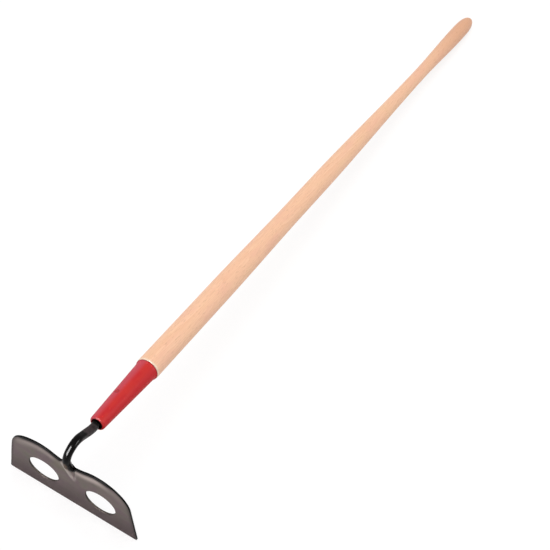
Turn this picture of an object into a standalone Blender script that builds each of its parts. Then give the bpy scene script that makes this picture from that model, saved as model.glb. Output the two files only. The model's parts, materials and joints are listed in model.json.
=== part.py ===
"""Cement hoe: a pierced steel blade, a forged gooseneck welded to it, and a long ash handle.

The hoe lies as it does on a floor, with the cutting edge and the butt of the handle on z = 0.
The origin is the middle of the cutting edge's flat, +Y runs from the blade to the butt and +X
across the blade. Lengths are in metres, angles in radians.

Blade and gooseneck are drawn in the blade's own axes: x across, b back from the front face
and h up the face. The handle and the ferrule are turned about their own axis, with s measured
along it from the ferrule's rim towards the butt.
"""

import math

import bmesh
import bpy
from mathutils import Vector

# Blade
EDGE_WIDTH = 0.2540
EDGE_CORNER_RADIUS = 0.0040
BLADE_HEIGHT = 0.1425
PLATE_THICKNESS = 0.0032
HOLE_SPACING = 0.1104
HOLE_HEIGHT = 0.0608
HOLE_DIAMETER = 0.0580
LOBE_RADIUS = 0.0600
SADDLE_DEPTH = 0.0120

# Trough pressed into the blade for the palm
TROUGH_LENGTH = 0.0465
TROUGH_MARGIN = 0.0100
TROUGH_MOUTH_DEPTH = 0.0032
TROUGH_DEPTH = 0.0051
TROUGH_NARROWING = 0.55
TROUGH_FLATNESS = 1.5

# Palm, the flattened end of the gooseneck
PALM_LENGTH = 0.0210
PALM_WIDTH = 0.0188
PALM_THICKNESS = 0.0098
PALM_TIP_WIDTH = 0.0040
PALM_TIP_THICKNESS = 0.0048
PALM_RISE = 0.0175

# Gooseneck above the palm
ROD_DIAMETER = 0.0135
ROD_ROOT_DIAMETER = 0.0150
ROD_RUN = 0.0088
ROD_STAND_OFF = 0.00585
ROD_LEAN = math.radians(6.5)
CREST_RADIUS = 0.0235
SHANK_FALL = math.radians(34.0)
SHANK_LENGTH = 0.0300
SHOULDER_RADIUS = 0.0450
ROOT_LENGTH = 0.0040
HANDLE_FALL = math.radians(13.1)
TANG_DIAMETER = 0.0120
TANG_TIP_DIAMETER = 0.0075
TANG_LENGTH = 0.1180

# Weld beads
WELD_LEG = 0.0045
WELD_CROWN = 0.0009
WELD_INSET = 0.0030
WELD_OVERRUN = 0.0005
WELD_TOP = math.radians(40.0)
WELD_FOOT = math.radians(-35.0)
WELD_END_SHARE = 0.15

# Ferrule
FERRULE_LENGTH = 0.1460
FERRULE_WALL = 0.0015
MOUTH_ROLL_RADIUS = 0.0040
MOUTH_CLEARANCE = 0.0022
LIP_LENGTH = 0.0050
LIP_RISE = 0.0015

# Handle
HANDLE_LENGTH = 1.4040
ROOT_DIAMETER = 0.0426
ROOT_RUN = 0.2400
ROOT_TAPER = 0.2800
BELLY_DIAMETER = 0.0382
BELLY_RUN = 0.1000
WAIST_DIAMETER = 0.0263
WAIST_FROM_BUTT = 0.2890
SWELL_DIAMETER = 0.0336
SWELL_FROM_BUTT = 0.0790
BUTT_FULLNESS = 3.5
SHOULDER_STEP = 0.0019
SHOULDER_ROUND = 0.0030
NOSE_SETBACK = 0.0120

# Pin
PIN_DIAMETER = 0.0045
PIN_FROM_MOUTH = 0.0660
PIN_TURN = math.radians(29.0)
PIN_PROUD = 0.0005

# Clearances between touching pieces
SEAT_GAP = 0.0005
FIT_GAP = 0.0003

# Facets
ROUND_SIDES = 40
ROD_SIDES = 20
RAY_ANGLE = math.radians(7.0)
FINE_STEP = 0.0026
CREST_STEP = math.radians(10.0)
LOBE_STEPS = 16
CORNER_STEPS = 4
PALM_STEPS = 7
COLLAR_STEPS = 4
WELD_STEPS = 10
PALM_FACETS = 5
CROWN_FACETS = 4
CONE_STEPS = 6
ROUND_STEPS = 4
HANDLE_STEP = 0.0500
BUTT_STEPS = 8
CREASE_ANGLE = math.radians(35.0)

# Numerical limits
TOLERANCE = 1e-6
HALVINGS = 50
STEEPEST_REST = math.radians(45.0)

# Sizes that follow from the ones above
LOBE_CENTRE_HEIGHT = BLADE_HEIGHT - LOBE_RADIUS
SADDLE_HEIGHT = BLADE_HEIGHT - SADDLE_DEPTH
TROUGH_TIP_HEIGHT = SADDLE_HEIGHT - TROUGH_LENGTH
TROUGH_WIDTH = PALM_WIDTH + 2 * TROUGH_MARGIN
PALM_TIP_HEIGHT = SADDLE_HEIGHT - PALM_LENGTH
PALM_START_HEIGHT = SADDLE_HEIGHT + PALM_RISE
CREST_START_HEIGHT = PALM_START_HEIGHT + ROD_RUN
FERRULE_MOUTH_DIAMETER = ROD_ROOT_DIAMETER + 2 * (MOUTH_CLEARANCE + MOUTH_ROLL_RADIUS)
FERRULE_RIM_DIAMETER = ROOT_DIAMETER - 2 * SHOULDER_STEP
BELLY_START = ROOT_RUN + ROOT_TAPER
BELLY_END = BELLY_START + BELLY_RUN
WAIST_PLACE = HANDLE_LENGTH - WAIST_FROM_BUTT
SWELL_PLACE = HANDLE_LENGTH - SWELL_FROM_BUTT
PIN_PLACE = FERRULE_LENGTH - PIN_FROM_MOUTH


def smooth(share):
    """Ease from 0 to 1 with level ends."""
    share = min(max(share, 0.0), 1.0)
    return share * share * (3.0 - 2.0 * share)


def blend(start, end, share):
    """Value between start and end."""
    return start + (end - start) * share


def arc(centre, radius, start, end, steps):
    """Points of an arc in a plane, from the angle start to the angle end."""
    angles = [blend(start, end, i / steps) for i in range(steps + 1)]
    return [(centre[0] + radius * math.cos(a), centre[1] + radius * math.sin(a)) for a in angles]


# Blade outline


def saddle_arc(steps):
    """The hollow between the lobes, from the middle of the blade to where it meets a lobe."""
    lobe = (HOLE_SPACING / 2, LOBE_CENTRE_HEIGHT)
    rise = SADDLE_HEIGHT - lobe[1]
    radius = (lobe[0] ** 2 + rise ** 2 - LOBE_RADIUS ** 2) / (2 * (LOBE_RADIUS - rise))
    centre = (0.0, SADDLE_HEIGHT + radius)
    meeting = math.atan2(lobe[1] - centre[1], lobe[0])
    return arc(centre, radius, -math.pi / 2, meeting, steps)


def side_lean():
    """Angle between the blade's side and the upright, for a side tangent to the lobe."""
    across = EDGE_WIDTH / 2 - HOLE_SPACING / 2
    distance = math.hypot(across, LOBE_CENTRE_HEIGHT)
    return math.atan2(across, LOBE_CENTRE_HEIGHT) - math.asin(LOBE_RADIUS / distance)


def lobe_arc(steps):
    """The round top of a lobe, from the saddle to the straight side."""
    saddle_end = saddle_arc(1)[-1]
    lobe = (HOLE_SPACING / 2, LOBE_CENTRE_HEIGHT)
    start = math.atan2(saddle_end[1] - lobe[1], saddle_end[0] - lobe[0])
    return arc(lobe, LOBE_RADIUS, start, side_lean(), steps)


def corner_arc(steps, stock):
    """The small round between the side and the cutting edge, with stock left below the edge."""
    lean = side_lean()
    radius = EDGE_CORNER_RADIUS
    height = radius - stock
    across = EDGE_WIDTH / 2 - height * math.tan(lean) - radius / math.cos(lean)
    return arc((across, height), radius, lean, -math.pi / 2, steps)


def spread(points, centre, angle):
    """Add points to straight runs until no two neighbours are further apart than angle."""
    result = [points[0]]
    for before, after in zip(points, points[1:]):
        first = math.atan2(before[1] - centre[1], before[0] - centre[0])
        last = math.atan2(after[1] - centre[1], after[0] - centre[0])
        turn = abs((last - first + math.pi) % (2 * math.pi) - math.pi)
        steps = max(1, math.ceil(turn / angle - TOLERANCE))
        for i in range(1, steps + 1):
            share = i / steps
            result.append((blend(before[0], after[0], share), blend(before[1], after[1], share)))
    return result


def half_outline(stock):
    """Closed loop round the right half of the blade, clockwise from the saddle."""
    hole = (HOLE_SPACING / 2, HOLE_HEIGHT)
    saddle = saddle_arc(round(HOLE_SPACING / 4 / FINE_STEP))
    lobe = lobe_arc(LOBE_STEPS)
    corner = corner_arc(CORNER_STEPS, stock)
    seam_steps = math.ceil((SADDLE_HEIGHT - TROUGH_TIP_HEIGHT) / FINE_STEP) + 2
    seam_low = SADDLE_HEIGHT - seam_steps * FINE_STEP
    seam = [(0.0, blend(seam_low, SADDLE_HEIGHT, i / seam_steps)) for i in range(seam_steps)]
    border = saddle + lobe[1:] + corner + [(0.0, -stock)] + seam
    return spread(border, hole, RAY_ANGLE)


# Gooseneck path


def rod_depth(height):
    """How far behind the blade's front face the rod's axis lies, below the crest."""
    return -ROD_STAND_OFF + (CREST_START_HEIGHT - height) * math.tan(ROD_LEAN)


def palm_share(height):
    """0 at the blade's saddle, 1 at the palm's tip."""
    return (SADDLE_HEIGHT - height) / (SADDLE_HEIGHT - PALM_TIP_HEIGHT)


def trough_floor(height):
    """Depth of the trough's floor behind the blade's front face."""
    if height >= PALM_TIP_HEIGHT:
        return blend(TROUGH_MOUTH_DEPTH, TROUGH_DEPTH, max(palm_share(height), 0.0))
    share = (height - TROUGH_TIP_HEIGHT) / (PALM_TIP_HEIGHT - TROUGH_TIP_HEIGHT)
    return TROUGH_DEPTH * math.sin(math.pi / 2 * max(share, 0.0))


def palm_faces(height):
    """Front and back of the palm, measured back from the blade's front face."""
    back = trough_floor(height) - SEAT_GAP
    front = back - blend(PALM_THICKNESS, PALM_TIP_THICKNESS, max(palm_share(height), 0.0))
    if height > SADDLE_HEIGHT:
        share = (height - SADDLE_HEIGHT) / PALM_RISE
        front = blend(front, rod_depth(PALM_START_HEIGHT) - ROD_DIAMETER / 2, share)
        back = blend(back, rod_depth(PALM_START_HEIGHT) + ROD_DIAMETER / 2, share)
    return front, back


def palm_half_width(height):
    """Half the width of the palm: widest at the saddle, drawn in to a rounded tip."""
    if height > SADDLE_HEIGHT:
        share = smooth((height - SADDLE_HEIGHT) / PALM_RISE)
        return blend(PALM_WIDTH / 2, ROD_DIAMETER / 2, share)
    narrowing = math.sqrt(max(0.0, 1.0 - palm_share(height) ** 2))
    return blend(PALM_TIP_WIDTH / 2, PALM_WIDTH / 2, narrowing)


def crest_end_heading():
    """Heading of the shank, turned back from straight up the blade."""
    return math.pi / 2 + SHANK_FALL


def handle_heading():
    """Heading of the handle's axis, turned back from straight up the blade."""
    return math.pi / 2 + HANDLE_FALL


def advance(place, heading, length):
    """Move along a heading in the blade's plane of symmetry, places given as (b, h)."""
    return place[0] + length * math.sin(heading), place[1] + length * math.cos(heading)


def bend(place, heading, end_heading, radius, step):
    """Places and headings along a bend, the first point left out."""
    turn = end_heading - heading
    side = math.copysign(1.0, turn)
    centre = advance(place, heading + side * math.pi / 2, radius)
    steps = max(2, math.ceil(abs(turn) / step))
    result = []
    for i in range(1, steps + 1):
        now = heading + turn * i / steps
        result.append((advance(centre, now - side * math.pi / 2, radius), now))
    return result


def neck_route():
    """Places and headings of the bare neck, from the start of the crest to the ferrule's mouth."""
    route = [((-ROD_STAND_OFF, CREST_START_HEIGHT), -ROD_LEAN)]
    route += bend(*route[-1], crest_end_heading(), CREST_RADIUS, CREST_STEP)
    route.append((advance(*route[-1], SHANK_LENGTH), crest_end_heading()))
    route += bend(*route[-1], handle_heading(), SHOULDER_RADIUS, CREST_STEP / 2)
    route.append((advance(*route[-1], ROOT_LENGTH), handle_heading()))
    return route


def rim_place():
    """Centre of the ferrule's rim as (b, h)."""
    return advance(neck_route()[-1][0], handle_heading(), FERRULE_LENGTH)


# Handle and ferrule profiles, as radius at the distance s from the rim


def handle_radius(s):
    """Radius of the bare wood between the ferrule and the butt."""
    root, belly = ROOT_DIAMETER / 2, BELLY_DIAMETER / 2
    waist, swell = WAIST_DIAMETER / 2, SWELL_DIAMETER / 2
    if s <= BELLY_START:
        radius = blend(root, belly, smooth((s - ROOT_RUN) / ROOT_TAPER))
    elif s <= WAIST_PLACE:
        radius = blend(belly, waist, smooth((s - BELLY_END) / (WAIST_PLACE - BELLY_END)))
    elif s <= SWELL_PLACE:
        radius = blend(waist, swell, smooth((s - WAIST_PLACE) / (SWELL_PLACE - WAIST_PLACE)))
    else:
        share = min(1.0, (s - SWELL_PLACE) / (HANDLE_LENGTH - SWELL_PLACE))
        radius = swell * math.sqrt(1.0 - share ** BUTT_FULLNESS)
    return radius


def handle_stations():
    """Distances from the rim at which the handle's profile is drawn."""
    plain = math.ceil(SWELL_PLACE / HANDLE_STEP)
    stations = [SHOULDER_ROUND + (SWELL_PLACE - SHOULDER_ROUND) * i / plain for i in range(plain + 1)]
    for i in range(1, BUTT_STEPS + 1):
        share = math.sin(math.pi / 2 * i / BUTT_STEPS)
        stations.append(blend(SWELL_PLACE, HANDLE_LENGTH, share))
    return stations


def cone_radius(s):
    """Outer radius of the ferrule's plain cone."""
    share = (s + FERRULE_LENGTH) / FERRULE_LENGTH
    return blend(FERRULE_MOUTH_DIAMETER, FERRULE_RIM_DIAMETER, share) / 2


def lip_radius(s):
    """Outer radius of the ferrule where it opens into its lip."""
    return cone_radius(s) + LIP_RISE * smooth(1.0 + s / LIP_LENGTH)


def nose_radius(s):
    """Radius of the wood inside the ferrule."""
    return cone_radius(s) - FERRULE_WALL - FIT_GAP


def tang_radius(s):
    """Radius of the tang, from the handle's nose to its tip."""
    nose = NOSE_SETBACK - FERRULE_LENGTH
    tip = TANG_LENGTH - FERRULE_LENGTH
    return blend(TANG_DIAMETER, TANG_TIP_DIAMETER, (s - nose) / (tip - nose)) / 2


def lowest_wood(fall):
    """Height of the handle's lowest point over the floor when its axis falls by an angle."""
    lean = HANDLE_FALL - fall
    back, height = rim_place()
    rim = height * math.cos(lean) + back * math.sin(lean)
    drops = (s * math.sin(fall) + handle_radius(s) * math.cos(fall) for s in handle_stations())
    return rim - max(drops)


def rest_lean():
    """Lean of the blade at which cutting edge and butt both touch the floor."""
    flatter, steeper = 0.0, STEEPEST_REST
    for _ in range(HALVINGS):
        fall = (flatter + steeper) / 2
        if lowest_wood(fall) > 0.0:
            flatter = fall
        else:
            steeper = fall
    return HANDLE_FALL - flatter


# Mesh tools


def finish(name, mesh_data, material, parent):
    """Turn a bmesh into a named, shaded object that hangs from parent."""
    bmesh.ops.recalc_face_normals(mesh_data, faces=mesh_data.faces)
    mesh = bpy.data.meshes.new(name)
    mesh_data.to_mesh(mesh)
    mesh_data.free()
    mesh.shade_smooth()
    mesh.set_sharp_from_angle(angle=CREASE_ANGLE)
    mesh.materials.append(material)
    piece = bpy.data.objects.new(name, mesh)
    bpy.context.scene.collection.objects.link(piece)
    piece.parent = parent
    return piece


def loft(rings):
    """Closed solid through rings of points, a ring of one point being a pole."""
    body = bmesh.new()
    levels = [[body.verts.new(point) for point in ring] for ring in rings]
    for lower, upper in zip(levels, levels[1:]):
        count = max(len(lower), len(upper))
        for i in range(count):
            j = (i + 1) % count
            if len(lower) == 1:
                body.faces.new((lower[0], upper[i], upper[j]))
            elif len(upper) == 1:
                body.faces.new((lower[i], upper[0], lower[j]))
            else:
                body.faces.new((lower[i], upper[i], upper[j], lower[j]))
    for level in (levels[0], levels[-1]):
        if len(level) > 2:
            body.faces.new(level)
    return body


def turned_ring(radius, s, sides):
    """Ring about the Z axis, with a corner on -Y so that the lowest line is drawn."""
    if radius < TOLERANCE:
        return [Vector((0.0, 0.0, s))]
    angles = [2 * math.pi * i / sides - math.pi / 2 for i in range(sides)]
    return [Vector((radius * math.cos(a), radius * math.sin(a), s)) for a in angles]


def turned(profile, sides):
    """Solid of revolution about Z from a profile of (radius, s) that starts and ends on the axis."""
    return loft([turned_ring(radius, s, sides) for radius, s in profile])


def turned_tube(profile, sides):
    """Hollow solid of revolution about Z from a closed loop of (radius, s)."""
    body = bmesh.new()
    levels = [[body.verts.new(p) for p in turned_ring(radius, s, sides)] for radius, s in profile]
    for lower, upper in zip(levels, levels[1:] + levels[:1]):
        for i in range(sides):
            j = (i + 1) % sides
            body.faces.new((lower[i], upper[i], upper[j], lower[j]))
    return body


def drill(piece, cutter):
    """Cut a piece with another object and keep the cutter out of the model."""
    cut = piece.modifiers.new("pin_hole", "BOOLEAN")
    cut.operation = "DIFFERENCE"
    cut.solver = "EXACT"
    cut.object = cutter


def paint(name, colour, roughness, metallic=0.0):
    """Principled material with a plain colour."""
    material = bpy.data.materials.new(name)
    material.use_nodes = True
    shader = material.node_tree.nodes["Principled BSDF"]
    shader.inputs["Base Color"].default_value = (*colour, 1.0)
    shader.inputs["Roughness"].default_value = roughness
    shader.inputs["Metallic"].default_value = metallic
    material.diffuse_color = (*colour, 1.0)
    return material


# Blade


def trough_half_width(height):
    """Half the trough's width at a height, 0 at its tip."""
    share = (height - TROUGH_TIP_HEIGHT) / (SADDLE_HEIGHT - TROUGH_TIP_HEIGHT)
    return TROUGH_WIDTH / 2 * max(share, 0.0) ** TROUGH_NARROWING


def trough_depth(x, height):
    """Depth of the blade's pressed front face behind its flat."""
    half_width = trough_half_width(height)
    if abs(x) >= half_width:
        return 0.0
    return trough_floor(height) * math.cos(math.pi / 2 * abs(x / half_width) ** TROUGH_FLATNESS) ** 2


def ray_shares(outer):
    """Where a ray from the rim to a hole is divided: often where it crosses the trough."""
    crosses = outer[0] < TROUGH_WIDTH / 2 + FINE_STEP and outer[1] > TROUGH_TIP_HEIGHT - FINE_STEP
    if not crosses:
        return [0.0, 1.0]
    inner = hole_point(outer)
    reach = (TROUGH_WIDTH / 2 + 2 * FINE_STEP - outer[0]) / (inner[0] - outer[0])
    steps = math.ceil(TROUGH_WIDTH / 2 / FINE_STEP) + 2
    return [reach * i / steps for i in range(steps + 1)] + [1.0]


def hole_point(outer):
    """Point of the hole's edge in line with a point of the outline."""
    across, up = outer[0] - HOLE_SPACING / 2, outer[1] - HOLE_HEIGHT
    scale = HOLE_DIAMETER / 2 / math.hypot(across, up)
    return HOLE_SPACING / 2 + across * scale, HOLE_HEIGHT + up * scale


def sheet_half(body, side, stock):
    """One half of the blade's front face, as rays between the outline and the hole."""
    rays = []
    for outer in half_outline(stock):
        inner = hole_point(outer)
        ray = []
        for share in ray_shares(outer):
            x, height = blend(outer[0], inner[0], share), blend(outer[1], inner[1], share)
            ray.append(body.verts.new((side * x, trough_depth(x, height), height)))
        rays.append(ray)
    for ray, following in zip(rays, rays[1:] + rays[:1]):
        if len(ray) == len(following) and len(ray) > 2:
            for i in range(len(ray) - 1):
                body.faces.new((ray[i], ray[i + 1], following[i + 1], following[i]))
        else:
            body.faces.new(ray + following[::-1])


def make_blade(material, parent, lean):
    """The pressed plate: front sheet, given its thickness, its edge ground level with the floor."""
    body = bmesh.new()
    stock = PLATE_THICKNESS * abs(math.tan(lean)) + FIT_GAP
    sheet_half(body, 1.0, stock)
    sheet_half(body, -1.0, stock)
    bmesh.ops.remove_doubles(body, verts=body.verts, dist=TOLERANCE)
    bmesh.ops.recalc_face_normals(body, faces=body.faces)
    if body.faces[0].normal.y > 0.0:
        bmesh.ops.reverse_faces(body, faces=body.faces)
    bmesh.ops.solidify(body, geom=body.faces[:], thickness=PLATE_THICKNESS)
    floor_normal = Vector((0.0, math.sin(lean), math.cos(lean)))
    everything = body.verts[:] + body.edges[:] + body.faces[:]
    cut = bmesh.ops.bisect_plane(
        body, geom=everything, plane_co=(0.0, 0.0, 0.0), plane_no=floor_normal, clear_inner=True
    )
    rim = [item for item in cut["geom_cut"] if isinstance(item, bmesh.types.BMEdge)]
    bmesh.ops.edgeloop_fill(body, edges=rim)
    return finish("blade", body, material, parent)


# Gooseneck


def neck_ring(place, heading, half_width, half_depth):
    """Ring square to a heading, wider or narrower across the blade than along its plane."""
    ring = []
    for i in range(ROD_SIDES):
        angle = 2 * math.pi * i / ROD_SIDES
        back, height = advance(place, heading + math.pi / 2, half_depth * math.sin(angle))
        ring.append(Vector((half_width * math.cos(angle), back, height)))
    return ring


def palm_rings():
    """Rings from the palm's tip up to the start of the round rod."""
    palm = [1.0 - math.cos(math.pi / 2 * i / PALM_STEPS) for i in range(PALM_STEPS + 1)]
    heights = [blend(PALM_TIP_HEIGHT, SADDLE_HEIGHT, share) for share in palm]
    heights += [SADDLE_HEIGHT + PALM_RISE * i / COLLAR_STEPS for i in range(1, COLLAR_STEPS + 1)]
    rings = []
    for height in heights:
        front, back = palm_faces(height)
        place = ((front + back) / 2, height)
        rings.append(neck_ring(place, 0.0, palm_half_width(height), (back - front) / 2))
    return rings


def tang_rings(mouth):
    """Rings from the shoulder in front of the handle's nose to the tang's blunt tip."""
    heading = handle_heading()
    shoulder = NOSE_SETBACK - 2 * FIT_GAP
    root, tip = ROD_ROOT_DIAMETER / 2, TANG_TIP_DIAMETER / 2
    sizes = [(shoulder - root + TANG_DIAMETER / 2, root)]
    for along in (shoulder, PIN_FROM_MOUTH, TANG_LENGTH - tip / 2):
        sizes.append((along, tang_radius(along - FERRULE_LENGTH)))
    sizes.append((TANG_LENGTH, tip / 2))
    return [neck_ring(advance(mouth, heading, along), heading, r, r) for along, r in sizes]


def make_gooseneck(material, parent):
    """Palm, crest, shank and tang as one forged rod."""
    rings = palm_rings()
    route = neck_route()
    for i, (place, heading) in enumerate(route):
        radius = blend(ROD_DIAMETER, ROD_ROOT_DIAMETER, smooth(i / (len(route) - 1))) / 2
        rings.append(neck_ring(place, heading, radius, radius))
    rings += tang_rings(route[-1][0])
    return finish("gooseneck", loft(rings), material, parent)


# Weld beads


def bead_section(height, side, size):
    """Outline of a weld bead at a height: along the palm, along the trough, over its crown."""
    front, back = palm_faces(height)
    centre, half_depth = (front + back) / 2, (back - front) / 2 + SEAT_GAP
    half_width = palm_half_width(height) + SEAT_GAP
    palm = []
    for i in range(PALM_FACETS + 1):
        angle = blend(WELD_TOP, WELD_FOOT, i / PALM_FACETS)
        palm.append((half_width * math.cos(angle), centre - half_depth * math.sin(angle)))
    inner_x, inner_depth = palm[-1]
    plate = []
    for i in range(1, PALM_FACETS + 1):
        x = blend(inner_x, half_width + WELD_LEG * size, i / PALM_FACETS)
        plate.append((x, min(trough_depth(x, height) - SEAT_GAP, inner_depth + x - inner_x)))
    crown = []
    for i in range(1, CROWN_FACETS):
        share = i / CROWN_FACETS
        bulge = math.sin(math.pi * share) * WELD_CROWN * size
        x = blend(plate[-1][0], palm[0][0], share) + bulge
        crown.append((x, blend(plate[-1][1], palm[0][1], share) - bulge))
    return [Vector((side * x, depth, height)) for x, depth in palm + plate + crown]


def make_weld(name, side, material, parent):
    """A bead in the corner between the palm and the trough, thin at both ends."""
    start, end = PALM_TIP_HEIGHT + WELD_INSET, SADDLE_HEIGHT + WELD_OVERRUN
    rings = []
    for i in range(WELD_STEPS + 1):
        share = i / WELD_STEPS
        size = math.sqrt(max(WELD_END_SHARE, 1.0 - (2 * share - 1) ** 2))
        rings.append(bead_section(blend(start, end, share), side, size))
    return finish(name, loft(rings), material, parent)


# Handle, ferrule and pin


def place_on_axis(piece):
    """Set a turned piece on the handle's axis, with its origin at the ferrule's rim."""
    back, height = rim_place()
    piece.location = (0.0, back, height)
    piece.rotation_euler = (-handle_heading(), 0.0, 0.0)


def make_handle(material, parent):
    """The turned stick: nose and tang bore inside the ferrule, shoulder, long taper, swelled butt."""
    nose = NOSE_SETBACK - FERRULE_LENGTH
    bore_end = TANG_LENGTH - FERRULE_LENGTH + 2 * FIT_GAP
    profile = [(0.0, bore_end), (tang_radius(bore_end) + FIT_GAP, bore_end)]
    profile.append((tang_radius(nose) + FIT_GAP, nose))
    profile.append((nose_radius(nose), nose))
    profile.append((nose_radius(FIT_GAP), FIT_GAP))
    seat = cone_radius(0.0) + LIP_RISE - SHOULDER_ROUND / 2
    for i in range(ROUND_STEPS + 1):
        angle = math.pi / 2 * i / ROUND_STEPS
        profile.append((
            blend(seat, handle_radius(SHOULDER_ROUND), math.sin(angle)),
            FIT_GAP + (SHOULDER_ROUND - FIT_GAP) * (1.0 - math.cos(angle)),
        ))
    profile += [(handle_radius(s), s) for s in handle_stations()[1:]]
    piece = finish("handle", turned(profile, ROUND_SIDES), material, parent)
    place_on_axis(piece)
    return piece


def make_ferrule(material, parent):
    """The steel cone: its mouth rolled in round the neck, its rim opened into a small lip."""
    mouth = -FERRULE_LENGTH
    roll = (cone_radius(mouth + MOUTH_ROLL_RADIUS) - MOUTH_ROLL_RADIUS, mouth + MOUTH_ROLL_RADIUS)
    inner_roll = MOUTH_ROLL_RADIUS - FERRULE_WALL
    outer = arc(roll, MOUTH_ROLL_RADIUS, -math.pi / 2, 0.0, ROUND_STEPS)
    inner = arc(roll, inner_roll, 0.0, -math.pi / 2, ROUND_STEPS)
    shares = [i / CONE_STEPS for i in range(1, CONE_STEPS + 1)]
    cone = [blend(mouth + MOUTH_ROLL_RADIUS, -LIP_LENGTH, share) for share in shares]
    lip = [LIP_LENGTH * (i / ROUND_STEPS - 1.0) for i in range(1, ROUND_STEPS + 1)]

    profile = outer + [(cone_radius(s), s) for s in cone]
    profile += [(lip_radius(s), s) for s in lip]
    profile += [(lip_radius(s) - FERRULE_WALL, s) for s in reversed(lip)]
    profile += [(cone_radius(s) - FERRULE_WALL, s) for s in reversed(cone)]
    profile += inner
    piece = finish("ferrule", turned_tube(profile, ROUND_SIDES), material, parent)
    place_on_axis(piece)
    return piece


def pin_shape(length, radius, dome):
    """A pin along Z with domed ends."""
    end = length / 2
    profile = [(0.0, -end - dome)]
    if dome > 0.0:
        profile.append((radius * math.sin(math.pi / 4), -end - dome * math.cos(math.pi / 4)))
    profile.append((radius, -end))
    profile += [(r, -z) for r, z in reversed(profile)]
    return turned(profile, ROD_SIDES)


def place_pin(piece):
    """Set a pin across the handle's axis, turned off the upright."""
    back, height = advance(rim_place(), handle_heading(), -PIN_PLACE)
    piece.rotation_mode = "QUATERNION"
    upward = Vector((0.0, -math.cos(handle_heading()), math.sin(handle_heading())))
    across = Vector((-math.sin(PIN_TURN), *(math.cos(PIN_TURN) * upward.yz)))
    piece.rotation_quaternion = across.to_track_quat("Z", "X")
    piece.location = (0.0, back, height)


def make_pin(material, parent):
    """The pin through ferrule, wood and tang."""
    length = 2 * cone_radius(-PIN_PLACE)
    piece = finish("ferrule_pin", pin_shape(length, PIN_DIAMETER / 2, PIN_PROUD), material, parent)
    place_pin(piece)
    return piece


def make_pin_drill(material, parent):
    """Cutter for the pin's holes, a clearance larger than the pin."""
    length = 2 * ROOT_DIAMETER
    piece = finish("pin_drill", pin_shape(length, PIN_DIAMETER / 2 + FIT_GAP, 0.0), material, parent)
    place_pin(piece)
    piece.hide_render = True
    piece.display_type = "WIRE"
    return piece


def build():
    """Build the whole hoe."""
    for leftover in list(bpy.data.objects):
        bpy.data.objects.remove(leftover, do_unlink=True)
    lean = rest_lean()
    hoe = bpy.data.objects.new("hoe", None)
    bpy.context.scene.collection.objects.link(hoe)
    hoe.rotation_euler = (lean, 0.0, 0.0)
    hoe.location = (0.0, -PLATE_THICKNESS / math.cos(lean) / 2, 0.0)

    bare_steel = paint("bare_steel", (0.14, 0.12, 0.115), 0.45, 0.9)
    black_paint = paint("black_paint", (0.012, 0.011, 0.011), 0.25)
    weld_metal = paint("weld_metal", (0.05, 0.04, 0.032), 0.45, 0.4)
    red_paint = paint("red_paint", (0.58, 0.05, 0.045), 0.35)
    ash_wood = paint("ash_wood", (0.86, 0.60, 0.42), 0.45)

    make_blade(bare_steel, hoe, lean)
    gooseneck = make_gooseneck(black_paint, hoe)
    make_weld("weld_left", -1.0, weld_metal, hoe)
    make_weld("weld_right", 1.0, weld_metal, hoe)
    ferrule = make_ferrule(red_paint, hoe)
    handle = make_handle(ash_wood, hoe)
    make_pin(red_paint, hoe)
    pin_drill = make_pin_drill(red_paint, hoe)
    for piece in (gooseneck, ferrule, handle):
        drill(piece, pin_drill)


build()
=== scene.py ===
"""Looks of a cement hoe: a pierced blade on a gooseneck, a red ferrule and a turned ash handle.

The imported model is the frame. Every piece here stands for one of its nodes, at the same place
and size, with the rounded edges, the weld ripples and the finishes that the solids leave out.
Lengths are in metres and angles in radians. +Z is up, +Y runs from the blade to the butt.
"""

import json
import logging
import math
from dataclasses import dataclass, field, fields
from enum import Enum
from typing import Any, ClassVar, Iterator

import bmesh
import bpy
import numpy as np
from mathutils import Euler, Matrix, Vector, noise


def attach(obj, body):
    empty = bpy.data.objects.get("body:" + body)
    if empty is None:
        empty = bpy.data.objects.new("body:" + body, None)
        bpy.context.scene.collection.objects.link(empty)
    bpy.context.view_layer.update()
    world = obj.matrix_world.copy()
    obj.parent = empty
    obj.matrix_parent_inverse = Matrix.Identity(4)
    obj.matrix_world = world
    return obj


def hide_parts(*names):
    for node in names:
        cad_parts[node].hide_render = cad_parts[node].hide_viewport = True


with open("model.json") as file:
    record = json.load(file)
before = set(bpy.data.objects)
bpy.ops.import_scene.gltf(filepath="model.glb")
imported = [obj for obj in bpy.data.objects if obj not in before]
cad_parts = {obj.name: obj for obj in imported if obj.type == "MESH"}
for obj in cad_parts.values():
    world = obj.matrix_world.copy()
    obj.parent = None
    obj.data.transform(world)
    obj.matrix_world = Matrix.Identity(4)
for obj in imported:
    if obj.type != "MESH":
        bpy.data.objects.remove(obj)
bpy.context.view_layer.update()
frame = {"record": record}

logging.basicConfig(level=logging.INFO, format="%(message)s")
log = logging.getLogger("hoe")

BODY = "root"
IMAGE_WIDTH_PX = 550
MERGE_DISTANCE = 2e-6
SMOOTH_ANGLE = math.radians(40.0)

# Input and output numbers of the colour half of a Mix node
MIX_A, MIX_B, MIX_RESULT = 6, 7, 2

Tree = bpy.types.NodeTree
Socket = bpy.types.NodeSocket
Material = bpy.types.Material
Mesh = bpy.types.Mesh
Piece = bpy.types.Object
Point = tuple[float, float]
Spot = tuple[float, float, float]
Corner = tuple[float, ...]
Face = tuple[int, ...]
Marks = dict[str, list[float]]
Inputs = dict[str, Any]

SOCKET_KINDS = {float: "NodeSocketFloat", int: "NodeSocketInt", Material: "NodeSocketMaterial"}


class Slot(Enum):
    """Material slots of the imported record."""

    BARE_STEEL = "bare_steel"
    BLACK_PAINT = "black_paint"
    WELD_METAL = "weld_metal"
    RED_PAINT = "red_paint"
    ASH_WOOD = "ash_wood"


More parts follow.
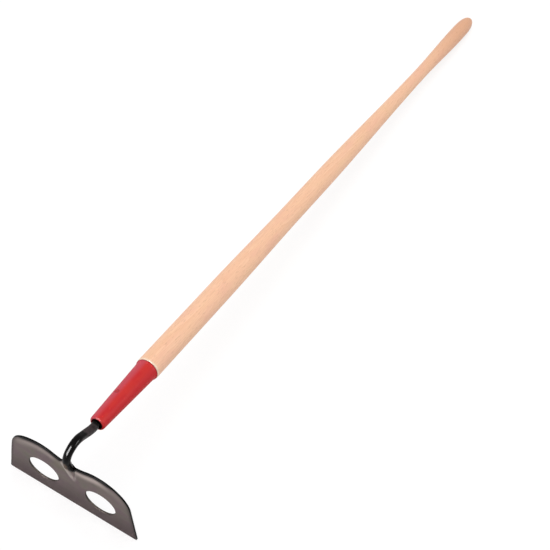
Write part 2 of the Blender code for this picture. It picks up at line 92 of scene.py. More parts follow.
def linear(hex_colour: str) -> tuple[float, float, float, float]:
    """Turn an sRGB hex colour into linear red, green and blue, with an alpha of 1."""
    shares = [int(hex_colour[i:i + 2], 16) / 255 for i in (0, 2, 4)]
    return (*(s / 12.92 if s <= 0.04045 else ((s + 0.055) / 1.055) ** 2.4 for s in shares), 1.0)


def add(tree: Tree, kind: str, *given: Any, output: int | str = 0, **settings: Any) -> Any:
    """Add one node with its settings, its values and its links.

    Args:
        tree: The tree that gets the node.
        kind: The node's type, without the ShaderNode or GeometryNode before it.
        given: Values or sockets for the inputs in order, or one dict of them by name or number.
        output: Number or name of the output that is wanted.
        settings: The node's properties.

    Returns:
        The wanted output, or None from a node that has none.
    """
    full_names = (start + kind for start in ("ShaderNode", "GeometryNode", ""))
    made = tree.nodes.new(next(name for name in full_names if hasattr(bpy.types, name)))
    for name, value in settings.items():
        setattr(made, name, value)
    by_name = bool(given) and isinstance(given[0], dict)
    for key, value in given[0].items() if by_name else enumerate(given):
        if isinstance(value, Socket):
            tree.links.new(value, made.inputs[key])
        else:
            made.inputs[key].default_value = value
    return made.outputs[output] if made.outputs else None


def blend(start: float, end: float, share: float) -> float:
    """Return the value between start and end."""
    return start + (end - start) * share


def smooth(share: float) -> float:
    """Ease a share from 0 to 1 with level ends."""
    share = min(max(share, 0.0), 1.0)
    return share * share * (3.0 - 2.0 * share)


def ramp(value: float, start: float, end: float) -> float:
    """Ease from 0 where a value is at its start to 1 where it is at its end."""
    return smooth((value - start) / (end - start))


def arc(centre: Point, radius: float, start: float, end: float, steps: int) -> list[Point]:
    """Return the points of an arc in a plane, one more than its chords."""
    angles = [blend(start, end, i / steps) for i in range(steps + 1)]
    return [(centre[0] + radius * math.cos(a), centre[1] + radius * math.sin(a)) for a in angles]


def direction(azimuth: float, elevation: float) -> Vector:
    """Return the unit vector at an azimuth from +X and an elevation, both in degrees."""
    turn, rise = math.radians(azimuth), math.radians(elevation)
    return Vector((math.cos(turn) * math.cos(rise), math.sin(turn) * math.cos(rise), math.sin(rise)))


@dataclass(frozen=True)
class Axes:
    """Local axes of a piece, as an origin and a turn about the world's X axis."""

    origin: Spot
    turn: float

    def matrix(self) -> Matrix:
        """Return the matrix from these axes to the world's."""
        return Matrix.Translation(self.origin) @ Euler((self.turn, 0.0, 0.0)).to_matrix().to_4x4()

    def pattern(self, tree: Tree) -> Socket:
        """Add nodes that give a shader's place in these axes, in metres."""
        world = add(tree, "TexCoord", output="Object")
        return add(tree, "Mapping", world, self.origin, (self.turn, 0.0, 0.0), vector_type="TEXTURE")


def clean(mesh: Mesh) -> None:
    """Merge a mesh's doubles, turn its faces outwards and shade it smooth.

    Args:
        mesh: The mesh to put in order.
    """
    body = bmesh.new()
    body.from_mesh(mesh)
    bmesh.ops.remove_doubles(body, verts=body.verts, dist=MERGE_DISTANCE)
    bmesh.ops.dissolve_degenerate(body, edges=body.edges, dist=MERGE_DISTANCE / 2)
    bmesh.ops.recalc_face_normals(body, faces=body.faces)
    body.to_mesh(mesh)
    body.free()
    mesh.shade_smooth()
    mesh.set_sharp_from_angle(angle=SMOOTH_ANGLE)


def show(name: str, data: Any) -> Piece:
    """Return a new object of the scene that holds a mesh, a lamp or a camera."""
    bpy.context.scene.collection.objects.link(made := bpy.data.objects.new(name, data))
    return made


def new_piece(name: str, points: list[Vector], faces: list[Face], marks: Marks) -> Piece:
    """Make a closed, smooth-shaded object from points and faces.

    Args:
        name: The object's name.
        points: Corner places.
        faces: Corner numbers of each face.
        marks: A value for every corner, by the name that its material reads it under.

    Returns:
        The new object.
    """
    mesh = bpy.data.meshes.new(name)
    mesh.from_pydata(points, [], faces)
    for mark, values in marks.items():
        mesh.attributes.new(mark, "FLOAT", "POINT").data.foreach_set("value", values)
    clean(mesh)
    return show(name, mesh)


def skin(name: str, rings: list[list[Vector]], hollow: bool, marks: Marks) -> Piece:
    """Cover rings of points, each with as many points as the others.

    Args:
        name: The object's name.
        rings: The rings, from one end to the other, or round a wall and back to the start.
        hollow: Whether the last ring joins the first; otherwise both ends are capped.
        marks: A value for every ring, by the name that its material reads it under.

    Returns:
        The closed piece.
    """
    sides, count = len(rings[0]), len(rings)
    faces: list[Face] = []
    for ring in range(count if hollow else count - 1):
        low, high = ring * sides, (ring + 1) % count * sides
        for i in range(sides):
            j = (i + 1) % sides
            faces.append((low + i, low + j, high + j, high + i))
    if not hollow:
        faces += [tuple(range(sides)), tuple(range((count - 1) * sides, count * sides))]
    spread = {mark: [value for value in values for _ in range(sides)] for mark, values in marks.items()}
    return new_piece(name, [point for ring in rings for point in ring], faces, spread)


def settle(piece: Piece, axes: Axes, node: str, material: Material) -> None:
    """Put a piece in its place, dress it and let it stand for a CAD node.

    Args:
        piece: The piece, with its mesh in its own axes.
        axes: Those axes.
        node: Name of the CAD node.
        material: The piece's material.
    """
    piece.data.transform(axes.matrix())
    piece.data.materials.clear()
    piece.data.materials.append(material)
    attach(piece, BODY)
    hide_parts(node)
    log.info("%s: %d faces, stands for %s", piece.name, len(piece.data.polygons), node)


# Finishes


@dataclass(frozen=True)
class Grain:
    """A mottled pattern whose grains have a real size along each local axis."""

    size: Spot
    detail: float = 2.0

    def spread(self, tree: Tree, place: Socket) -> Socket:
        """Return the pattern, near 0 to 1, at a local position."""
        scaled = add(tree, "VectorMath", place, [1.0 / length for length in self.size], operation="MULTIPLY")
        return add(tree, "TexNoise", {"Vector": scaled, "Scale": 1.0, "Detail": self.detail})


@dataclass(frozen=True)
class Layer:
    """A tone that lies over the ones below it, where a pattern runs from one value to another."""

    tone: str
    pattern: Socket
    start: float = 0.0
    full: float = 1.0
    strength: float = 1.0
    within: Any = 1.0


def lay(tree: Tree, ground: str, *layers: Layer) -> Socket:
    """Lay tones over a ground, one after another.

    Args:
        tree: The material's node tree.
        ground: The lowest tone.
        layers: The tones over it, lowest first.

    Returns:
        Socket with the colour.
    """
    colour: Any = linear(ground)
    for layer in layers:
        limits = (layer.start, layer.full, 0.0, layer.strength)
        share = add(tree, "MapRange", layer.pattern, *limits, interpolation_type="SMOOTHSTEP")
        share = add(tree, "Math", share, layer.within, operation="MULTIPLY")
        inputs = {0: share, MIX_A: colour, MIX_B: linear(layer.tone)}
        colour = add(tree, "Mix", inputs, output=MIX_RESULT, data_type="RGBA")
    return colour


@dataclass(frozen=True)
class Finish:
    """A surface finish: the base of every material on the hoe."""

    axes: Axes
    name: ClassVar[str] = "finish"

    def make(self) -> Material:
        """Build the material with its nodes."""
        material = bpy.data.materials.new(self.name)
        material.use_nodes = True
        tree = material.node_tree
        tree.nodes.clear()
        shader = add(tree, "BsdfPrincipled", self.surface(tree, self.axes.pattern(tree)))
        add(tree, "OutputMaterial", {"Surface": shader})
        return material

    def grains(self, tree: Tree, place: Socket) -> Iterator[Socket]:
        """Return the patterns of the finish's own grains, in their order."""
        values = (getattr(self, item.name) for item in fields(self))
        return (value.spread(tree, place) for value in values if isinstance(value, Grain))

    def surface(self, tree: Tree, place: Socket) -> Inputs:
        """Work out the shader's inputs; each finish has its own way.

        Args:
            tree: The material's node tree.
            place: Local position in metres.

        Returns:
            Values or sockets for the shader's inputs, by name.
        """
        raise NotImplementedError


@dataclass(frozen=True)
class GroundSteel(Finish):
    """Carbon steel plate, belt-ground on its face, with black enamel left on edges and back.

    The eye gets a dull grey-brown with fine lines across, a painted highlight in a pale band below
    the lobes' rims and along the edges of the pressed trough, painted shade on the trough's right
    wall and a black band that thins out downwards from the top.
    """

    name: ClassVar[str] = "ground_steel"
    warm: str = "605753"
    lilac: str = "5e4f53"
    olive: str = "58564c"
    low: str = "483d3e"
    pale: str = "9b8f8a"
    heat: str = "5b564a"
    ridge: str = "9c948f"
    # Dark scale tone, also laid as painted shade on the trough's right wall
    scale: str = "3e3535"
    sawn: str = "3a3430"
    black: str = "060404"
    shine: float = 0.42
    # How far inside the trough's edge the painted highlight runs
    ridge_inset: float = 0.0016
    lines: Grain = Grain((0.045, 0.004, 0.0011), 3.0)
    blotches: Grain = Grain((0.034, 0.030, 0.026))
    patches: Grain = Grain((0.020, 0.030, 0.017))
    specks: Grain = Grain((0.0022, 0.0022, 0.0016), 1.0)
    heat_centre: Spot = (-0.018, 0.0, 0.115)
    heat_reach: float = 0.022

    def surface(self, tree: Tree, place: Socket) -> Inputs:
        """Lay the ground metal first and the paint over it.

        Args:
            tree: The material's node tree.
            place: Local position in metres.

        Returns:
            Values or sockets for the shader's inputs, by name.
        """
        names = ("rim", "paint", "cut", "border", "wall")
        rim, paint, cut, border, wall = (
            add(tree, "Attribute", output="Fac", attribute_name=name) for name in names
        )
        lines, blotches, patches, specks = self.grains(tree, place)
        across, _, height = add(tree, "SeparateXYZ", place).node.outputs
        heated = add(tree, "VectorMath", place, self.heat_centre, output="Value", operation="DISTANCE")
        # Painted highlight: a pale band below the lobes' rims, where the rounded top edge catches light, at
        # half strength on the left lobe, full just right of the trough, fading towards the far right
        pressed = add(tree, "MapRange", across, -0.030, 0.010, 0.45, 1.0)
        lifted = add(tree, "MapRange", across, 0.050, 0.074, 1.0, 0.2)
        rim_highlight_strength = add(tree, "Math", pressed, lifted, operation="MULTIPLY")
        rim_highlight = add(tree, "MapRange", height, 0.098, 0.122, 0.0, rim_highlight_strength)
        # Painted highlight along the trough's edges, just inside them: full on the left edge, a quarter as
        # strong on the right, fading in from 82 to 94 mm up the face
        left = add(tree, "MapRange", across, 0.006, 0.009, 1.0, 0.25)
        ridge_highlight_mask = add(tree, "MapRange", height, 0.082, 0.094, 0.0, left)
        inset = add(tree, "Math", border, self.ridge_inset, operation="ADD")
        ridge = add(tree, "Math", inset, operation="ABSOLUTE")
        ragged = add(tree, "Math", specks, -0.0006, paint, operation="MULTIPLY_ADD")
        metal = add(tree, "MapRange", lines, 0.3, 0.7, 0.42, 0.54)
        # Each runs from its value on bare metal to the one on paint
        metallic, roughness, scored = (
            add(tree, "MapRange", ragged, -0.0005, -0.0001, bare, painted)
            for bare, painted in ((self.shine, 0.0), (metal, 0.35), (lines, 0.0))
        )
        return {
            "Base Color": lay(
                tree, self.warm,
                Layer(self.lilac, blotches, 0.42, 0.62, 0.9),
                Layer(self.olive, patches, 0.52, 0.70, 0.7),
                Layer(self.low, height, 0.090, 0.015, 0.85),
                # Painted highlight below the lobes' rims
                Layer(self.pale, rim, 0.0280, 0.0130, within=rim_highlight),
                Layer(self.heat, heated, self.heat_reach, 0.4 * self.heat_reach, 0.7),
                Layer(self.pale, lines, 0.50, 0.85, 0.20),
                Layer(self.low, specks, 0.40, 0.20, 0.35),
                # Painted highlight along the trough's edges
                Layer(self.ridge, ridge, 0.0045, 0.0006, 0.75, ridge_highlight_mask),
                # Painted shade on the trough's right wall
                Layer(self.scale, wall, strength=0.95),
                Layer(self.scale, ragged, -0.0070, -0.0005, 0.75),
                Layer(self.sawn, cut, 0.2, 1.0, 0.9),
                Layer(self.black, ragged, -0.0005, -0.0001),
            ),
            "Metallic": metallic,
            "Roughness": roughness,
            "Normal": add(tree, "Bump", {"Height": scored, "Strength": 0.35, "Distance": 0.00012}),
            "Specular IOR Level": 0.04,
        }


@dataclass(frozen=True)
class GlossBlack(Finish):
    """Forged steel rod in gloss black enamel, burnt off by the weld, scuffed near the ferrule and given a
    painted sheen there.

    The eye gets a deep black with crisp lamp streaks, broken a little by the forging under it,
    a dull brown flank at the weld and a satin grey stretch of flat hammer marks, its grey both
    scuffed paint and a painted sheen.
    """

    name: ClassVar[str] = "gloss_black"
    black: str = "080606"
    # Grey of scuffed paint with a painted sheen of reflected light
    rubbed_and_sheen: str = "372f30"
    burnt: str = "66574b"
    forging: Grain = Grain((0.006, 0.006, 0.008))
    scorch: Grain = Grain((0.0030, 0.0030, 0.0050))
    pits: Grain = Grain((0.0012, 0.0012, 0.0012))

    def surface(self, tree: Tree, place: Socket) -> Inputs:
        """Mix glossy, scuffed and burnt paint by the rod's own marks, with a painted sheen on the scuffed
        stretch.

        Args:
            tree: The material's node tree.
            place: Local position in metres.

        Returns:
            Values or sockets for the shader's inputs, by name.
        """
        rubbed_and_sheen, foot = (
            add(tree, "Attribute", output="Fac", attribute_name=name) for name in ("rubbed_and_sheen", "foot")
        )
        forging, scorch, pits = self.grains(tree, place)
        across = add(tree, "SeparateXYZ", place)
        ragged = add(tree, "Math", scorch, 0.006, across, operation="MULTIPLY_ADD")
        burnt = add(tree, "MapRange", ragged, 0.0074, 0.0050, 0.0, foot)
        patchy = add(tree, "MapRange", forging, 0.30, 0.60, 0.45, 1.0)
        dull = add(tree, "Math", rubbed_and_sheen, burnt, operation="MAXIMUM")
        lumps = add(tree, "Math", pits, 0.15, forging, operation="MULTIPLY_ADD")
        return {
            # The grey on the flat stretch is scuffed paint and a painted sheen of reflected light
            "Base Color": lay(
                tree, self.black, Layer(self.rubbed_and_sheen, rubbed_and_sheen, within=patchy), Layer(self.burnt, burnt)
            ),
            "Roughness": add(tree, "MapRange", dull, 0.0, 1.0, 0.17, 0.50),
            "Normal": add(tree, "Bump", {"Height": lumps, "Strength": 0.4, "Distance": 0.0003}),
            "Specular IOR Level": add(tree, "MapRange", foot, 0.0, 1.0, 0.10, 0.02),
        }


@dataclass(frozen=True)
class WeldScale(Finish):
    """Arc-welded steel: brown scale on the left bead, black enamel over most of the right one.

    The eye gets a dull olive-brown ripple on one side and a black one on the other.
    """

    name: ClassVar[str] = "weld_scale"
    brown: str = "5c5247"
    black: str = "0e0a09"
    drips: Grain = Grain((0.003, 0.003, 0.003))
    grit: Grain = Grain((0.0006, 0.0006, 0.0006), 1.0)

    def surface(self, tree: Tree, place: Socket) -> Inputs:
        """Let the paint cover the right side and run over to the left in drips.

        Args:
            tree: The material's node tree.
            place: Local position in metres.

        Returns:
            Values or sockets for the shader's inputs, by name.
        """
        drips, grit = self.grains(tree, place)
        across = add(tree, "SeparateXYZ", place)
        covered = add(tree, "Math", drips, 0.008, across, operation="MULTIPLY_ADD")
        return {
            "Base Color": lay(tree, self.brown, Layer(self.black, covered, 0.0, 0.004)),
            "Roughness": add(tree, "MapRange", covered, 0.0, 0.004, 0.6, 0.3),
            "Normal": add(tree, "Bump", {"Height": grit, "Strength": 0.4, "Distance": 0.0002}),
            "Specular IOR Level": 0.15,
        }


@dataclass(frozen=True)
class RedEnamel(Finish):
    """Drawn steel cone sprayed with red alkyd enamel.

    The eye gets an even, half-glossy red with a faint orange peel, a painted pinkish sheen on one
    flank and painted shade on the other, and painted shade in the step at the rim, in the dimple
    round the pin and, black, in the mouth.
    """

    pin_middle: Spot
    pin_line: Spot
    name: ClassVar[str] = "red_enamel"
    red: str = "cb3431"
    # Deeper red for the clouds, also laid as painted shade on the right flank
    deep: str = "c4272f"
    shadow: str = "74171c"
    thin: str = "c64e5b"
    # Black of the painted shade inside the mouth
    inside: str = "0c0505"
    clouds: Grain = Grain((0.010, 0.010, 0.028))
    peel: Grain = Grain((0.0015, 0.0015, 0.0015), 1.0)

    def surface(self, tree: Tree, place: Socket) -> Inputs:
        """Cloud the red a little, paint a sheen and shade on its flanks and paint shade at the rim, the pin
        and the mouth.

        Args:
            tree: The material's node tree.
            place: Local position in metres.

        Returns:
            Values or sockets for the shader's inputs, by name.
        """
        clouds, peel = self.grains(tree, place)
        inside = add(tree, "Attribute", output="Fac", attribute_name="inside")
        across, _, along = add(tree, "SeparateXYZ", place).node.outputs
        away = add(tree, "VectorMath", place, self.pin_middle, operation="SUBTRACT")
        square = add(tree, "VectorMath", away, self.pin_line, operation="CROSS_PRODUCT")
        off_pin = add(tree, "VectorMath", square, output="Value", operation="LENGTH")
        return {
            "Base Color": lay(
                tree, self.red,
                Layer(self.deep, clouds, 0.40, 0.68, 0.7),
                # Painted sheen: a pinkish light on the left flank
                Layer(self.thin, across, 0.002, -0.008, 0.85),
                # Painted shade on the right flank
                Layer(self.deep, across, 0.006, 0.014, 0.6),
                Layer(self.shadow, off_pin, 0.0058, 0.0030, 0.45),
                Layer(self.red, off_pin, 0.0024, 0.0020, 0.6),
                Layer(self.shadow, along, -0.0018, -0.0002, 0.85),
                # Painted shade inside the mouth: dark red, turning black except on the left
                Layer(self.shadow, inside),
                Layer(self.inside, across, -0.009, -0.003, within=inside),
            ),
            "Roughness": add(tree, "MapRange", peel, 0.3, 0.7, 0.38, 0.46),
            "Normal": add(tree, "Bump", {"Height": peel, "Strength": 0.25, "Distance": 0.0001}),
            "Specular IOR Level": 0.07,
        }


@dataclass(frozen=True)
class LacqueredAsh(Finish):
    """Sawn white ash, turned along its grain and dipped in clear lacquer.

    The eye gets a pale peach wood with long soft lines and short brown pores, under a thin shine.
    The rings lie round a heart some way off the stick, as in a board cut from beside the pith.
    """

    name: ClassVar[str] = "lacquered_ash"
    pale: str = "fbcba9"
    summer: str = "edb48d"
    pink: str = "f4bca1"
    straw: str = "f6caa0"
    cream: str = "f4dfc6"
    butt: str = "e0a682"
    pore: str = "c39272"
    heart: Spot = (0.075, 0.050, 0.0)
    ring_spacing: float = 0.0034
    waver: Grain = Grain((0.020, 0.020, 0.240))
    clouds: Grain = Grain((0.020, 0.020, 0.070))
    fibres: Grain = Grain((0.0011, 0.0011, 0.045))
    pores: Grain = Grain((0.0007, 0.0007, 0.0110), 0.0)

    def surface(self, tree: Tree, place: Socket) -> Inputs:
        """Build the wood from rings, clouds, fibres and pores.

        Args:
            tree: The material's node tree.
            place: Position with z along the stick, in metres.

        Returns:
            Values or sockets for the shader's inputs, by name.
        """
        waver, clouds, fibres, pores = self.grains(tree, place)
        along = add(tree, "SeparateXYZ", place, output="Z")
        across = add(tree, "VectorMath", place, (1.0, 1.0, 0.0), operation="MULTIPLY")
        radius = add(tree, "VectorMath", across, self.heart, output="Value", operation="DISTANCE")
        count = add(tree, "Math", radius, self.ring_spacing, operation="DIVIDE")
        moved = add(tree, "Math", waver, 9.0, count, operation="MULTIPLY_ADD")
        rings = add(tree, "Math", moved, operation="FRACT")
        return {
            "Base Color": lay(
                tree, self.pale,
                Layer(self.summer, rings, 0.1, 0.9, 0.45),
                Layer(self.pink, clouds, 0.48, 0.70, 0.6),
                Layer(self.straw, clouds, 0.46, 0.28, 0.5),
                Layer(self.summer, fibres, 0.35, 0.75, 0.30),
                Layer(self.butt, along, 1.05, 1.38, 0.7),
                Layer(self.cream, along, 0.0060, 0.0020, 0.7),
                Layer(self.pore, pores, 0.66, 0.78, 0.45),
            ),
            "Roughness": add(tree, "MapRange", fibres, 0.3, 0.7, 0.44, 0.54),
            "Normal": add(tree, "Bump", {"Height": fibres, "Strength": 0.2, "Distance": 0.0002}),
            "Specular IOR Level": 0.30,
            "Coat Weight": 0.12,
            "Coat Roughness": 0.30,
        }


@dataclass(frozen=True)
class StudioPaper(Finish):
    """Matt white background paper: plain white with the hoe's soft shadow."""

    name: ClassVar[str] = "studio_paper"
    white: str = "f2f2f2"
    shown: str = "858585"
    glow: float = 0.80
    fibres: Grain = Grain((0.004, 0.004, 0.004))

    def surface(self, tree: Tree, place: Socket) -> Inputs:
        """Show the paper lighter to the camera than it is as a reflector of light.

        Args:
            tree: The material's node tree.
            place: Local position in metres.

        Returns:
            Values or sockets for the shader's inputs, by name.
        """
        seen = add(tree, "LightPath", output="Is Camera Ray")
        fibres, = self.grains(tree, place)
        return {
            "Base Color": lay(
                tree, self.white, Layer(self.shown, fibres, 0.3, 0.7, 0.04), Layer(self.shown, seen)
            ),
            "Roughness": 1.0,
            "Specular IOR Level": 0.0,
            "Emission Color": linear("ffffff"),
            "Emission Strength": add(tree, "MapRange", seen, 0.0, 1.0, 0.0, self.glow),
        }


# Blade


@dataclass
class Blade:
    """The pressed plate: two lobes, two mixing holes and a trough for the gooseneck's palm."""

    edge_width: float = 0.2540
    corner_radius: float = 0.0025
    height: float = 0.1425
    plate: float = 0.0032
    hole_spacing: float = 0.1104
    hole_height: float = 0.0608
    hole_diameter: float = 0.0580
    lobe_radius: float = 0.0600
    saddle_depth: float = 0.0120
    trough_length: float = 0.0465
    trough_width: float = 0.0304
    trough_mouth_depth: float = 0.0032
    trough_depth: float = 0.0051
    trough_narrowing: float = 0.60
    trough_flatness: float = 1.5
    # The trough's middle at its mouth and its tip, and the painted shade on its right wall, by
    # share of its half width and by height over its tip
    trough_skew: Point = (-0.0047, 0.0060)
    wall_shade_from: Point = (0.36, 0.52)
    wall_shade_to: Point = (0.90, 0.74)
    wall_shade_end: Point = (0.009, 0.018)
    palm_length: float = 0.0180
    # Rounded edges, larger above the second height, and the height up to which the foot is level
    top_round: float = 0.0005
    edge_round: float = 0.0003
    hole_round: float = 0.0005
    rounding_grows: Point = (0.004, 0.034)
    edge_level: float = 0.010
    crown_width: float = 0.0110
    crown_drop: float = 0.0004
    # Black band under the top edge: where it sets in and ends, and its gap's middle, half and fade
    band_width: float = 0.0042
    band_edge: float = 0.0010
    band_from: Point = (-0.104, -0.088)
    band_to: Point = (0.084, 0.066)
    band_gap: Spot = (-0.0045, 0.0125, 0.0080)
    # How far the outline lies off the holes, and where these and the left corner hold it back
    outline_rise: float = 0.0010
    outline_rises: Point = (0.060, 0.110)
    outline_shift: float = -0.0018
    hole_hold: float = 0.020
    corner_hold: Point = (0.060, 0.080)
    left_swell: float = 0.0020
    left_swell_at: float = math.radians(47.0)
    left_swell_half: float = math.radians(38.0)
    ray_angle: float = math.radians(3.0)
    row_step: float = 0.0012
    rows: int = 44
    row_bias: float = 1.3
    saddle_steps: int = 20
    lobe_steps: int = 44
    corner_steps: int = 6
    seam_steps: int = 12
    round_steps: int = 4

    def __post_init__(self) -> None:
        """Work out the places that follow from the sizes, on the right half."""
        self.saddle_height = self.height - self.saddle_depth
        self.trough_tip = self.saddle_height - self.trough_length
        self.palm_tip = self.saddle_height - self.palm_length
        self.lobe = (self.hole_spacing / 2, self.height - self.lobe_radius)
        self.hole = (self.hole_spacing / 2, self.hole_height)

    def axes(self) -> Axes:
        """Find the axes, x across, y back from the face and z up it, from the record.

        Returns:
            Axes that lean with the blade, with the cutting edge's flat centred on the origin.
        """
        mounts = {mount["name"]: mount for mount in frame["record"]["mounts"]}
        outward = mounts["blade_face"]["axis"]
        lean = math.atan2(-outward[2], -outward[1])
        return Axes((0.0, -self.plate / math.cos(lean) / 2, 0.0), lean)

    def side_lean(self) -> float:
        """Return the angle between the blade's side and the upright."""
        across, up = self.edge_width / 2 - self.hole_spacing / 2, self.lobe[1]
        return math.atan2(across, up) - math.asin(self.lobe_radius / math.hypot(across, up))

    def border(self) -> list[Point]:
        """Return the right half's outline, from the saddle's middle to the edge's middle."""
        lobe, lean, small = self.lobe, self.side_lean(), self.corner_radius
        rise = self.saddle_height - lobe[1]
        radius = (lobe[0] ** 2 + rise ** 2 - self.lobe_radius ** 2) / (2 * (self.lobe_radius - rise))
        centre = (0.0, self.saddle_height + radius)
        meeting = math.atan2(lobe[1] - centre[1], lobe[0])
        saddle = arc(centre, radius, -math.pi / 2, meeting, self.saddle_steps)
        start = math.atan2(saddle[-1][1] - lobe[1], saddle[-1][0] - lobe[0])
        crown = arc(lobe, self.lobe_radius, start, lean, self.lobe_steps)
        foot = (self.edge_width / 2 - small * math.tan(lean) - small / math.cos(lean), small)
        corner = arc(foot, small, lean, -math.pi / 2, self.corner_steps)
        return self.spread(saddle + crown[1:] + corner + [(0.0, 0.0)])

    def seam(self) -> list[Point]:
        """Return points up the middle of the blade, from the edge to the saddle, ends left out."""
        tip = self.trough_tip
        steps = round((self.saddle_height - self.top_round - tip) / self.row_step)
        heights = [tip * i / self.seam_steps for i in range(1, self.seam_steps + 1)]
        return [(0.0, height) for height in heights + [tip + self.row_step * i for i in range(1, steps)]]

    def spread(self, points: list[Point]) -> list[Point]:
        """Add points to straight runs until neighbours are close, as seen from the hole.

        Args:
            points: The outline's corners.

        Returns:
            The outline with added points.
        """
        result = [points[0]]
        for before, after in zip(points, points[1:]):
            first, last = (math.atan2(p[1] - self.hole[1], p[0] - self.hole[0]) for p in (before, after))
            turn = abs((last - first + math.pi) % (2 * math.pi) - math.pi)
            steps = max(1, math.ceil(turn / self.ray_angle))
            for share in (i / steps for i in range(1, steps + 1)):
                result.append((blend(before[0], after[0], share), blend(before[1], after[1], share)))
        return result

    @staticmethod
    def inward(points: list[Point]) -> list[Point]:
        """Find the direction into the plate along its outline.

        Args:
            points: The outline.

        Returns:
            A unit direction for each point.
        """
        result = [(0.0, -1.0)]
        for before, after in zip(points, points[2:]):
            along = (after[0] - before[0], after[1] - before[1])
            length = math.hypot(*along)
            result.append((along[1] / length, -along[0] / length))
        return result + [(0.0, 1.0)]

    def trough_place(self, x: float, height: float) -> Point:
        """Find a point's place across the trough.

        Args:
            x: Distance from the middle of the blade.
            height: Height up the face.

        Returns:
            Distance to the right of the trough's middle, and half its width there.
        """
        share = min(max(0.0, (height - self.trough_tip) / self.trough_length), 1.0)
        middle = blend(self.trough_skew[1], self.trough_skew[0], share)
        return x - middle, self.trough_width / 2 * share ** self.trough_narrowing

    def relief(self, x: float, height: float) -> float:
        """Find how far the trough lies behind the face.

        Args:
            x: Distance from the middle of the blade.
            height: Height up the face.

        Returns:
            The trough's depth, 0 outside it.
        """
        aside, half_width = self.trough_place(x, height)
        if abs(aside) >= half_width:
            return 0.0
        if height >= self.palm_tip:
            rise = min(1.0, (height - self.palm_tip) / self.palm_length)
            floor = blend(self.trough_depth, self.trough_mouth_depth, rise)
        else:
            share = (height - self.trough_tip) / (self.palm_tip - self.trough_tip)
            floor = self.trough_depth * math.sin(math.pi / 2 * share)
        return floor * math.cos(math.pi / 2 * abs(aside / half_width) ** self.trough_flatness) ** 2

    def ray(self, start: Point, inward: Point | None) -> tuple[list[Corner], list[Corner]]:
        """Lay out one ray from the outline or the seam to the hole.

        Args:
            start: The ray's first point.
            inward: Direction into the plate, None on the seam.

        Returns:
            Outer and inner points as (x, height, depth of a rounded edge, cut share).
        """
        outer: list[Corner] = []
        if inward:
            size = blend(self.edge_round, self.top_round, ramp(start[1], *self.rounding_grows))
            outer.append((*start, self.plate / 2, 0.0))
            for inset, depth in arc((size, size), size, math.pi, 1.5 * math.pi, self.round_steps):
                outer.append((start[0] + inward[0] * inset, start[1] + inward[1] * inset, depth, 0.0))
        first = outer[-1][:2] if outer else start
        across, up = first[0] - self.hole[0], first[1] - self.hole[1]
        distance, radius, small = math.hypot(across, up), self.hole_diameter / 2, self.hole_round
        rim = (radius + small) / distance
        end = (self.hole[0] + across * rim, self.hole[1] + up * rim)
        shares = ((i / self.rows) ** self.row_bias for i in range(self.rows + 1))
        inner = [(blend(first[0], end[0], s), blend(first[1], end[1], s), 0.0, 0.0) for s in shares]
        wall = arc((small, small), small, -math.pi / 2, -math.pi, self.round_steps)
        for inset, depth in wall[1:] + [(0.0, self.plate / 2)]:
            reach = (radius + inset) / distance
            inner.append((self.hole[0] + across * reach, self.hole[1] + up * reach, depth, 1.0))
        return outer, inner

    def sheets(self) -> tuple[list[Corner], list[Face]]:
        """Lay out the right half of the plate, front and back.

        Returns:
            Points as (x, height, edge depth, cut share, 1 on the back) and faces.
        """
        border = self.border()
        rays = [self.ray(p, n) for p, n in zip(border, self.inward(border))]
        rays += [self.ray(p, None) for p in self.seam()]
        points: list[Corner] = []
        faces: list[Face] = []
        for back in (0, 1):
            for part in (0, 1):
                lines = []
                for ray in rays:
                    lines.append(range(len(points), len(points) + len(ray[part])))
                    points += [(*point, float(back)) for point in ray[part]]
                for line, following in zip(lines, lines[1:] + lines[:1]):
                    for i in range(min(len(line), len(following)) - 1):
                        quad = (line[i], line[i + 1], following[i + 1], following[i])
                        faces.append(quad[::-1] if back else quad)
        return points, faces

    def pressed(self, side: float, right: float, height: float) -> Point:
        """Move a point to where the press left it, with the outline a little off the holes.

        Args:
            side: 1 on the right half, -1 on the left.
            right: Distance from the middle of the blade.
            height: Height up the face.

        Returns:
            Place across and up the face.
        """
        from_hole = math.hypot(right - self.hole[0], height - self.hole[1]) - self.hole_diameter / 2
        loose = smooth(from_hole / self.hole_hold)
        turn = math.atan2(right - self.lobe[0], height - self.lobe[1])
        swell = held = 0.0
        if side < 0:
            swing = abs(turn - self.left_swell_at) / self.left_swell_half
            swell = self.left_swell * smooth(1.0 - swing) * loose
            held = smooth(right / self.corner_hold[0]) * (1.0 - smooth(height / self.corner_hold[1]))
        x = side * (right + swell * math.sin(turn)) + self.outline_shift * loose * (1.0 - held)
        rise = self.outline_rise * ramp(height, *self.outline_rises) * loose
        return x, height + swell * math.cos(turn) + rise

    def painted(self, x: float, rim: float) -> float:
        """Find how far inside the black band a point of the face lies.

        Args:
            x: Distance from the middle of the blade.
            rim: Distance from the outline.

        Returns:
            The distance, below 0 where the face is bare.
        """
        width = self.band_width * ramp(x, *self.band_from) * ramp(x, *self.band_to)
        middle, half_gap, fade = self.band_gap
        bare = 1.0 - smooth((abs(x - middle) - half_gap) / fade + 0.5)
        return blend(width + self.band_edge, -self.band_edge, bare) - rim

    def trough_wall_shade(self, x: float, height: float) -> float:
        """Return how much painted shade falls on the trough's right wall, from 0 to 1."""
        aside, half_width = self.trough_place(x, height)
        share = aside / max(half_width, self.row_step)
        end = ramp(height - self.trough_tip, *self.wall_shade_end)
        return ramp(share, *self.wall_shade_from) * ramp(share, *self.wall_shade_to) * end

